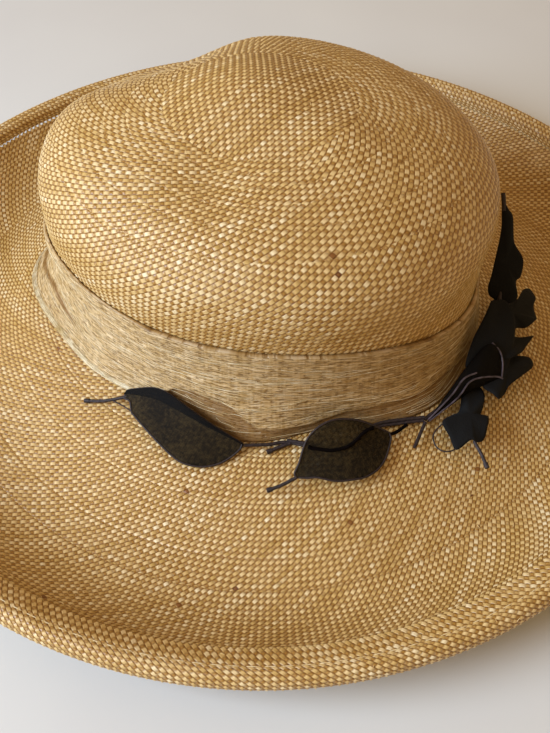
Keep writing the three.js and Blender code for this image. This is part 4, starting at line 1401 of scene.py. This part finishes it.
def sheer_material():
    material, tree = new_material("starched_sheer_cloth")
    cloth = add(tree, "ShaderNodeAttribute", attribute_name="cloth")
    place_on = add(tree, "ShaderNodeSeparateXYZ", {0: cloth.outputs["Vector"]})
    turns = 2 * math.pi / SHEER_THREAD
    grid_at = add(tree, "ShaderNodeVectorMath", {0: cloth.outputs["Vector"], "Scale": turns},
                  operation="SCALE")
    split = add(tree, "ShaderNodeSeparateXYZ", {0: grid_at})
    warp = add(tree, "ShaderNodeMath", {0: split.outputs[0]}, operation="SINE")
    weft = add(tree, "ShaderNodeMath", {0: split.outputs[1]}, operation="SINE")
    grid = add(tree, "ShaderNodeMath", {0: warp, 1: weft}, operation="MULTIPLY")
    spot = add(tree, "ShaderNodeTexCoord")
    blots = []
    for per_mm in (CLOUDS_PER_MM, GRAINS_PER_MM):
        blots.append(add(tree, "ShaderNodeTexNoise", {"Vector": spot.outputs["Object"],
                                                      "Scale": per_mm / MM, "Detail": 2.0}))
    mottle = add(tree, "ShaderNodeMix", {0: GRAIN_SHARE, 2: blots[0], 3: blots[1]})
    tone = add(tree, "ShaderNodeMath", {0: grid, 1: GRID_TONE, 2: mottle}, operation="MULTIPLY_ADD")
    open_cloth = ramp(tree, tone, SHEER_RAMP)
    # Turned and doubled parts take a tint of painted shade
    colour = add(tree, "ShaderNodeMix", {0: place_on.outputs[2], 6: open_cloth, 7: linear(TURNED_SHADE_TINT)},
                 data_type="RGBA", blend_type="MULTIPLY")
    bump = add(tree, "ShaderNodeBump", {"Height": grid, **SHEER_BUMP})
    finish_material(tree, {"Base Color": colour.outputs[2], "Normal": bump, **SHEER_SHADER})
    return material


sheer_cloth = sheer_material()
print("material:", sheer_cloth.name)

# %% Sheer leaves
rims = []


def widest(leaf):
    return sum(max(width for _, width in leaf[edge]) for edge in ("inner", "outer"))


for leaf in SHEER:
    points, faces, cloth = sheer_mesh(leaf, SHEER_THICK)
    if "turned_in" in leaf:
        more, more_faces, more_cloth = sheer_mesh(leaf, SHEER_THICK, leaf["turned_in"], TURNED_OFF,
                                                  turned=1.0)
        faces = np.concatenate([faces, more_faces + len(points)])
        points = np.concatenate([points, more])
        cloth = np.concatenate([cloth, more_cloth])
    label = leaf["name"] + "_sheer"
    piece = place(label, make_mesh(label, points, faces.tolist(), cloth=cloth), sheer_cloth)
    fit(piece, leaf["name"])
    length = leaf_frame(leaf)[1] * MM
    width = widest(leaf) * MM
    u = np.linspace(RIM_START, 1 - RIM_START, LEAF_ROWS)
    rim = [sheer_point(leaf, u, np.full_like(u, 1.0)), sheer_point(leaf, u[::-1], np.full_like(u, -1.0))]
    rims.append(np.vstack(rim))
rim_wire = grow("leaf_rim_wires", strand_mesh("leaf_rim_paths", rims, closed=True), wrapped_strand,
                radius=RIM_WIRE * MM, material=paper_tape, **RIM_TAPE)
fit(rim_wire)
rib_u, rib_v = smooth_path(RIB).T
rib_paths = [sheer_point(SHEER[1], rib_u, rib_v, SHEER_THICK), smooth_path(np.array(STALK) + TO_HAT)]
dark_tape = thread_material("tape_in_shade", [(0.3, "#050303"), (0.7, "#0E0808")],
                            grains_per_mm=0.5, roughness=0.9)
dark_tape.node_tree.nodes["Principled BSDF"].inputs["Specular IOR Level"].default_value = SHADE_GLOSS
rib = wire_piece("centre_leaf_rib", rib_paths, RIB_RADIUS, dark_tape)
fit(rib)

# %% [markdown]
# Velvet leaves are black, deeply lobed and crumpled, and lie over each other in a thick bunch at the side
# of the crown. Velvet's pile stands on end, so it swallows light seen face on and turns grey where it is
# seen edgewise: a very dark base with a sheen does that. The pile is far finer than a pixel, so its grain
# is drawn at about half a millimetre. Each outline is a few corners in millimetres along and across the
# leaf; it is filled out from its middle, raised there, and crumpled by a wave round the edge. The folded
# leaf is of the sheer cloth, doubled, so it takes the darker tint, partly painted shade, with glossy wires
# on its folds whose paler colour is a painted highlight.

# %% Lobed outlines
LOBED = [
    {"name": "leaf_hanging", "foot": (88.9, -68.4, 21), "tip": (82.5, -102, 17), "side": (-0.97, 0.2, 0.1),
     "middle": (16, 0.5), "rise": 1.6, "crumple": 0.9, "waves": 5,
     "outline": [(-1, 1.5), (2.9, 4.6), (13.7, 4.7), (17.5, 7.9), (22.4, 11.8), (28.4, 7.8),
                 (33.5, 4.4), (28.4, -0.7), (28.3, -3.3), (26.1, -6.6), (20.9, -7.5), (14.9, -7.6),
                 (14.7, -4.6), (10.4, -5.2), (4.7, -5.2), (0, -3.2)]},
    {"name": "leaf_low", "foot": (99.8, -52.6, 24), "tip": (106, -79, 17.5), "side": (-0.9, -0.2, 0.3),
     "middle": (9, -3), "rise": 1.6, "crumple": 0.9, "waves": 5,
     "outline": [(-4, 2), (-2, -6), (1, -12), (3.2, -17.5), (7.4, -19.1), (10.3, -14.5), (16.8, -1.7),
                 (20.6, 2.0), (22.8, 6.7), (19.3, 9.5), (15.3, 11.1), (8.5, 7.5), (1, 7)]},
    {"name": "leaf_pointed", "foot": (102.6, -46.2, 26.1), "tip": (122, -40, 19.5),
     "side": (-0.3, 0.95, -0.05), "middle": (4, -3), "rise": 1.5, "crumple": 0.6, "waves": 4,
     "outline": [(21.7, 1.8), (13.9, -4.2), (7.5, -9), (-1, -12.2), (-7, -8), (-6, 1), (2, 4.5),
                 (9.9, 1.4)]},
    {"name": "leaf_upper", "foot": (106, -37, 28.8), "tip": (126, -14, 22.5), "side": (-0.75, 0.55, 0.15),
     "middle": (5, 0), "rise": 2.0, "crumple": 0.8, "waves": 5,
     "outline": [(20.0, 2.4), (26, 5), (32.6, 3.8), (28.2, -1.6), (21.4, -4.3), (17, -9),
                 (13.3, -9.9), (6.1, -9.6), (1.7, -6.5), (-10, -6.7), (-20, -1), (-8, 6), (6, 10.2),
                 (15.7, 8.5)]},
    {"name": "leaf_tall", "foot": (106.2, -23, 34.2), "tip": (111.5, 4, 57), "side": (-0.95, 0.1, 0.1),
     "middle": (12, 0), "rise": 1.4, "crumple": 0.5, "waves": 4,
     "outline": [(40, 4.6), (37, 2.4), (33.9, -0.3), (24, -2.3), (20.5, -3.8), (15.1, -7.8),
                 (7.6, -8.0), (4.6, -6.2), (-2.7, -7.7), (-6, -3), (-4, 4), (-0.1, 6.2), (7.5, 5.5),
                 (26.7, 4.2), (37, 5.2)]},
    {"name": "velvet_backing", "foot": (66.7, -86, 19), "tip": (101, -58, 29), "side": (-0.55, 0.55, 0.6),
     "middle": (47, 4), "off": -2.5, "rise": 1.2, "crumple": 0.6, "waves": 4,
     "outline": [(58.4, 20.5), (48.4, 15.9), (38.1, 11), (30.1, 5.7), (29.6, -3.9), (37.2, -9.9),
                 (52.9, -3.1), (62.3, 7.5), (63.9, 16.4)]},
    {"name": "leaf_folded", "foot": (66.7, -86, 19), "tip": (101, -58, 29), "side": (-0.55, 0.55, 0.6),
     "middle": (27, 0), "rise": 3.0, "crumple": 0.5, "waves": 3, "turned": 1.0,
     "outline": [(-0.6, -1.2), (8, 1.2), (16.8, 2.9), (33.2, 6.5), (42.7, 7.5), (46.4, 3.6),
                 (44.8, -1.4), (39.8, -7.5), (33, -6.2), (23.7, -3.7), (9.5, -2.4)]},
]
VELVET_THICK = 0.6
FOLD_WIRES = [
    [(0.5, -0.6), (14.4, 1.5), (23.5, 3.6), (30, 1.8)],
    [(0.5, -1.4), (16.1, -1), (24.3, 0.8), (30.1, -1), (36.9, -5.7), (39, -8.3)],
    [(39.2, -7.5), (43.8, -3.4), (46.1, 1), (45.6, 6.4)],
]
FOLD_WIRE_RISE = 3.4
FOLD_WIRE_OFF = 0.3
print("lobed leaves:", len(LOBED))

# %% Velvet material
PILE_PER_MM = 1.8
CRUSH_PER_MM = 0.13
CRUSH_SHARE = 0.65
VELVET_RAMP = [(0.3, "#060606"), (0.6, "#0D0E0E"), (0.8, "#181B1C")]
VELVET_BUMP = {"Distance": 0.0008, "Strength": 0.8}
VELVET_SHADER = {"Roughness": 0.85, "IOR": 1.45, "Specular IOR Level": 0.3, "Sheen Weight": 0.06,
                 "Sheen Roughness": 0.45, "Sheen Tint": linear("#7F8C92")}


def velvet_material():
    material, tree = new_material("cut_silk_velvet")
    spot = add(tree, "ShaderNodeTexCoord")
    pile = add(tree, "ShaderNodeTexNoise", {"Vector": spot.outputs["Object"], "Scale": PILE_PER_MM / MM,
                                            "Detail": 2.0})
    crush = add(tree, "ShaderNodeTexNoise", {"Vector": spot.outputs["Object"], "Scale": CRUSH_PER_MM / MM,
                                             "Detail": 3.0})
    tone = add(tree, "ShaderNodeMix", {0: CRUSH_SHARE, 2: pile, 3: crush})
    colour = ramp(tree, tone, VELVET_RAMP)
    bump = add(tree, "ShaderNodeBump", {"Height": tone, **VELVET_BUMP})
    finish_material(tree, {"Base Color": colour, "Normal": bump, **VELVET_SHADER})
    return material


silk_velvet = velvet_material()
print("material:", silk_velvet.name)


# %% Lobed mesh
def lobed_mesh(leaf, thick):
    """A closed plate inside an outline: a fan round its middle, then rings out to the edge."""
    outline = np.array(leaf["outline"] + leaf["outline"][:1], dtype=float)
    edge = smooth_path(outline, EDGE_STEPS)[:-1]
    middle = np.array(leaf["middle"])
    count = len(edge)
    share = np.linspace(0, 1, VELVET_RINGS + 1)[1:, None]
    turn = np.linspace(0, 2 * np.pi, count, endpoint=False)[None, :]
    flat = (middle + share[..., None] * (edge - middle)).reshape(-1, 2)
    height = leaf["rise"] * (1 - share ** 2) + leaf["crumple"] * share ** 2 * np.sin(leaf["waves"] * turn)
    flat = np.vstack([middle, flat])
    height = np.concatenate([[leaf["rise"]], height.ravel()]) + leaf.get("off", 0.0)
    sides = [leaf_place(leaf, flat[:, 0], flat[:, 1], height + thick / 2 * sign) for sign in (1, -1)]
    here = np.arange(count)
    following = (here + 1) % count
    fan = np.stack([np.zeros_like(here), 1 + here, 1 + following], axis=1)
    rows = (1 + count * np.arange(VELVET_RINGS - 1))[:, None]
    rings = np.stack([rows + here, rows + count + here, rows + count + following, rows + following],
                     axis=-1)
    rings = rings.reshape(-1, 4)
    total = len(flat)
    last = total - count
    rim = np.stack([last + following, last + here, last + here + total, last + following + total], axis=1)
    faces = [fan, rings, fan[:, ::-1] + total, rings[:, ::-1] + total, rim]

    # The front must face off the leaf, whichever way round the outline runs
    _, _, along, normal, across = leaf_frame(leaf)
    area = np.sum(edge[:, 0] * edge[following, 1] - edge[following, 0] * edge[:, 1])
    if area * np.dot(np.cross(along, across), normal) < 0:
        faces = [group[:, ::-1] for group in faces]
    cloth = np.concatenate([flat, np.full((total, 1), leaf.get("turned", 0.0))], axis=1)
    face_list = [face for group in faces for face in group.tolist()]
    return np.vstack(sides), face_list, np.vstack([cloth, cloth]), flat


# %% Velvet leaves
for leaf in LOBED:
    sheer = leaf["name"] == "leaf_folded"
    points, faces, cloth, flat = lobed_mesh(leaf, SHEER_THICK if sheer else VELVET_THICK)
    label = leaf["name"] + ("_sheer" if sheer else "_cloth")
    piece = place(label, make_mesh(label, points, faces, cloth=cloth),
                  sheer_cloth if sheer else silk_velvet)
    node = None if leaf["name"] == "velvet_backing" else leaf["name"]
    fit(piece, node)
    length, width = np.ptp(flat, axis=0) * MM
folded = LOBED[-1]
fold_paths = []
for path in FOLD_WIRES:
    curve = smooth_path(path)
    rise = FOLD_WIRE_RISE * np.sin(np.pi * np.clip(curve[:, 0] / leaf_frame(folded)[1], 0, 1))
    fold_paths.append(leaf_place(folded, curve[:, 0], curve[:, 1], rise + FOLD_WIRE_OFF))
# The paler lilac of these wires is a painted highlight; their low roughness gives the real gloss
highlight_wire = thread_material("varnished_wire", [(0.3, "#2A2328"), (0.7, "#5C535D")],
                              grains_per_mm=0.5, roughness=0.35)
fold_wires = wire_piece("folded_leaf_wires", fold_paths, RIM_WIRE, highlight_wire)
fit(fold_wires)

# %% [markdown]
# Bare wire. A thin loop springs from the hanging leaf, and a bent end runs beside the left leaf. They are
# too thin for a solid of their own, so they are strands along a few given points, each fixed at a leaf
# or stem.

# %% Bare wires
BARE_WIRE = 0.32
BARE_PATHS = [
    [(71.7, -82.6, 18.6), (68.7, -85.2, 17.5), (67.2, -88.3, 16.4), (68.4, -93.1, 15.8),
     (72.0, -95.2, 15.8), (76.3, -94.0, 16.2), (79.4, -91.6, 17.4)],
    [(-71.4, -69.4, 18.0), (-66.8, -71.9, 17.6), (-62.0, -75.8, 18.2)],
]
BARE_SIDES = 8
BARE_STEP = 0.6
bare_paths = strand_mesh("bare_wire_paths", [smooth_path(path) for path in BARE_PATHS])
bare = grow("bare_wires", bare_paths, wrapped_strand, radius=BARE_WIRE * MM, sides=BARE_SIDES,
            step=BARE_STEP * MM, material=paper_tape)
fit(bare)

# %% [markdown]
# Floor and light. The hat stands on a plain pale surface under soft light from a window at its front
# left, so the left of the crown is bright, the inside of the upturned edge on that side falls dark, and
# the crown's own shade lies over the brim on the right. A large area light gives that softness; a warm
# room fills the rest.

# %% Floor
FLOOR_RAMP = [(0.3, "#D7DAD8"), (0.7, "#DFE3E0")]
FLOOR_CLOUDS_PER_METRE = 5.0
FLOOR_ROUGHNESS = 0.55


def floor_material():
    material, tree = new_material("painted_board")
    spot = add(tree, "ShaderNodeTexCoord")
    cloud = add(tree, "ShaderNodeTexNoise", {"Vector": spot.outputs["Object"],
                                             "Scale": FLOOR_CLOUDS_PER_METRE, "Detail": 3.0})
    colour = ramp(tree, cloud, FLOOR_RAMP)
    finish_material(tree, {"Base Color": colour, "Roughness": FLOOR_ROUGHNESS})
    return material


FLOOR_HALF = 4000.0
floor_corners = [(-FLOOR_HALF, -FLOOR_HALF, 0), (FLOOR_HALF, -FLOOR_HALF, 0), (FLOOR_HALF, FLOOR_HALF, 0),
                 (-FLOOR_HALF, FLOOR_HALF, 0)]
floor = place("floor", make_mesh("floor", floor_corners, [(0, 1, 2, 3)]), floor_material())
print("floor:", floor.name)

# %% Light
WINDOW = {"place": (-1.25, -0.52, 0.8), "aim": (0, 0, 0.05), "size": 1.0, "power": 36.5,
          "colour": "#DAE9FF"}
ROOM = {"colour": "#FFD7A3", "strength": 0.49}
window = bpy.data.lights.new("window", "AREA")
window.shape = "DISK"
window.size = WINDOW["size"]
window.energy = WINDOW["power"]
window.color = linear(WINDOW["colour"])[:3]
light = bpy.data.objects.new("window", window)
light.location = WINDOW["place"]
aim = np.subtract(WINDOW["aim"], WINDOW["place"])
tip = math.pi - math.acos(aim[2] / np.linalg.norm(aim))
light.rotation_euler = (tip, 0, math.atan2(aim[1], aim[0]) - math.pi / 2)
bpy.context.collection.objects.link(light)
world = bpy.data.worlds.new("room_light")
world.use_nodes = True
world.node_tree.nodes["Background"].inputs[0].default_value = linear(ROOM["colour"])
world.node_tree.nodes["Background"].inputs[1].default_value = ROOM["strength"]
bpy.context.scene.world = world
bpy.context.scene.view_settings.view_transform = "Standard"
print("light:", light.name, "at", WINDOW["place"])
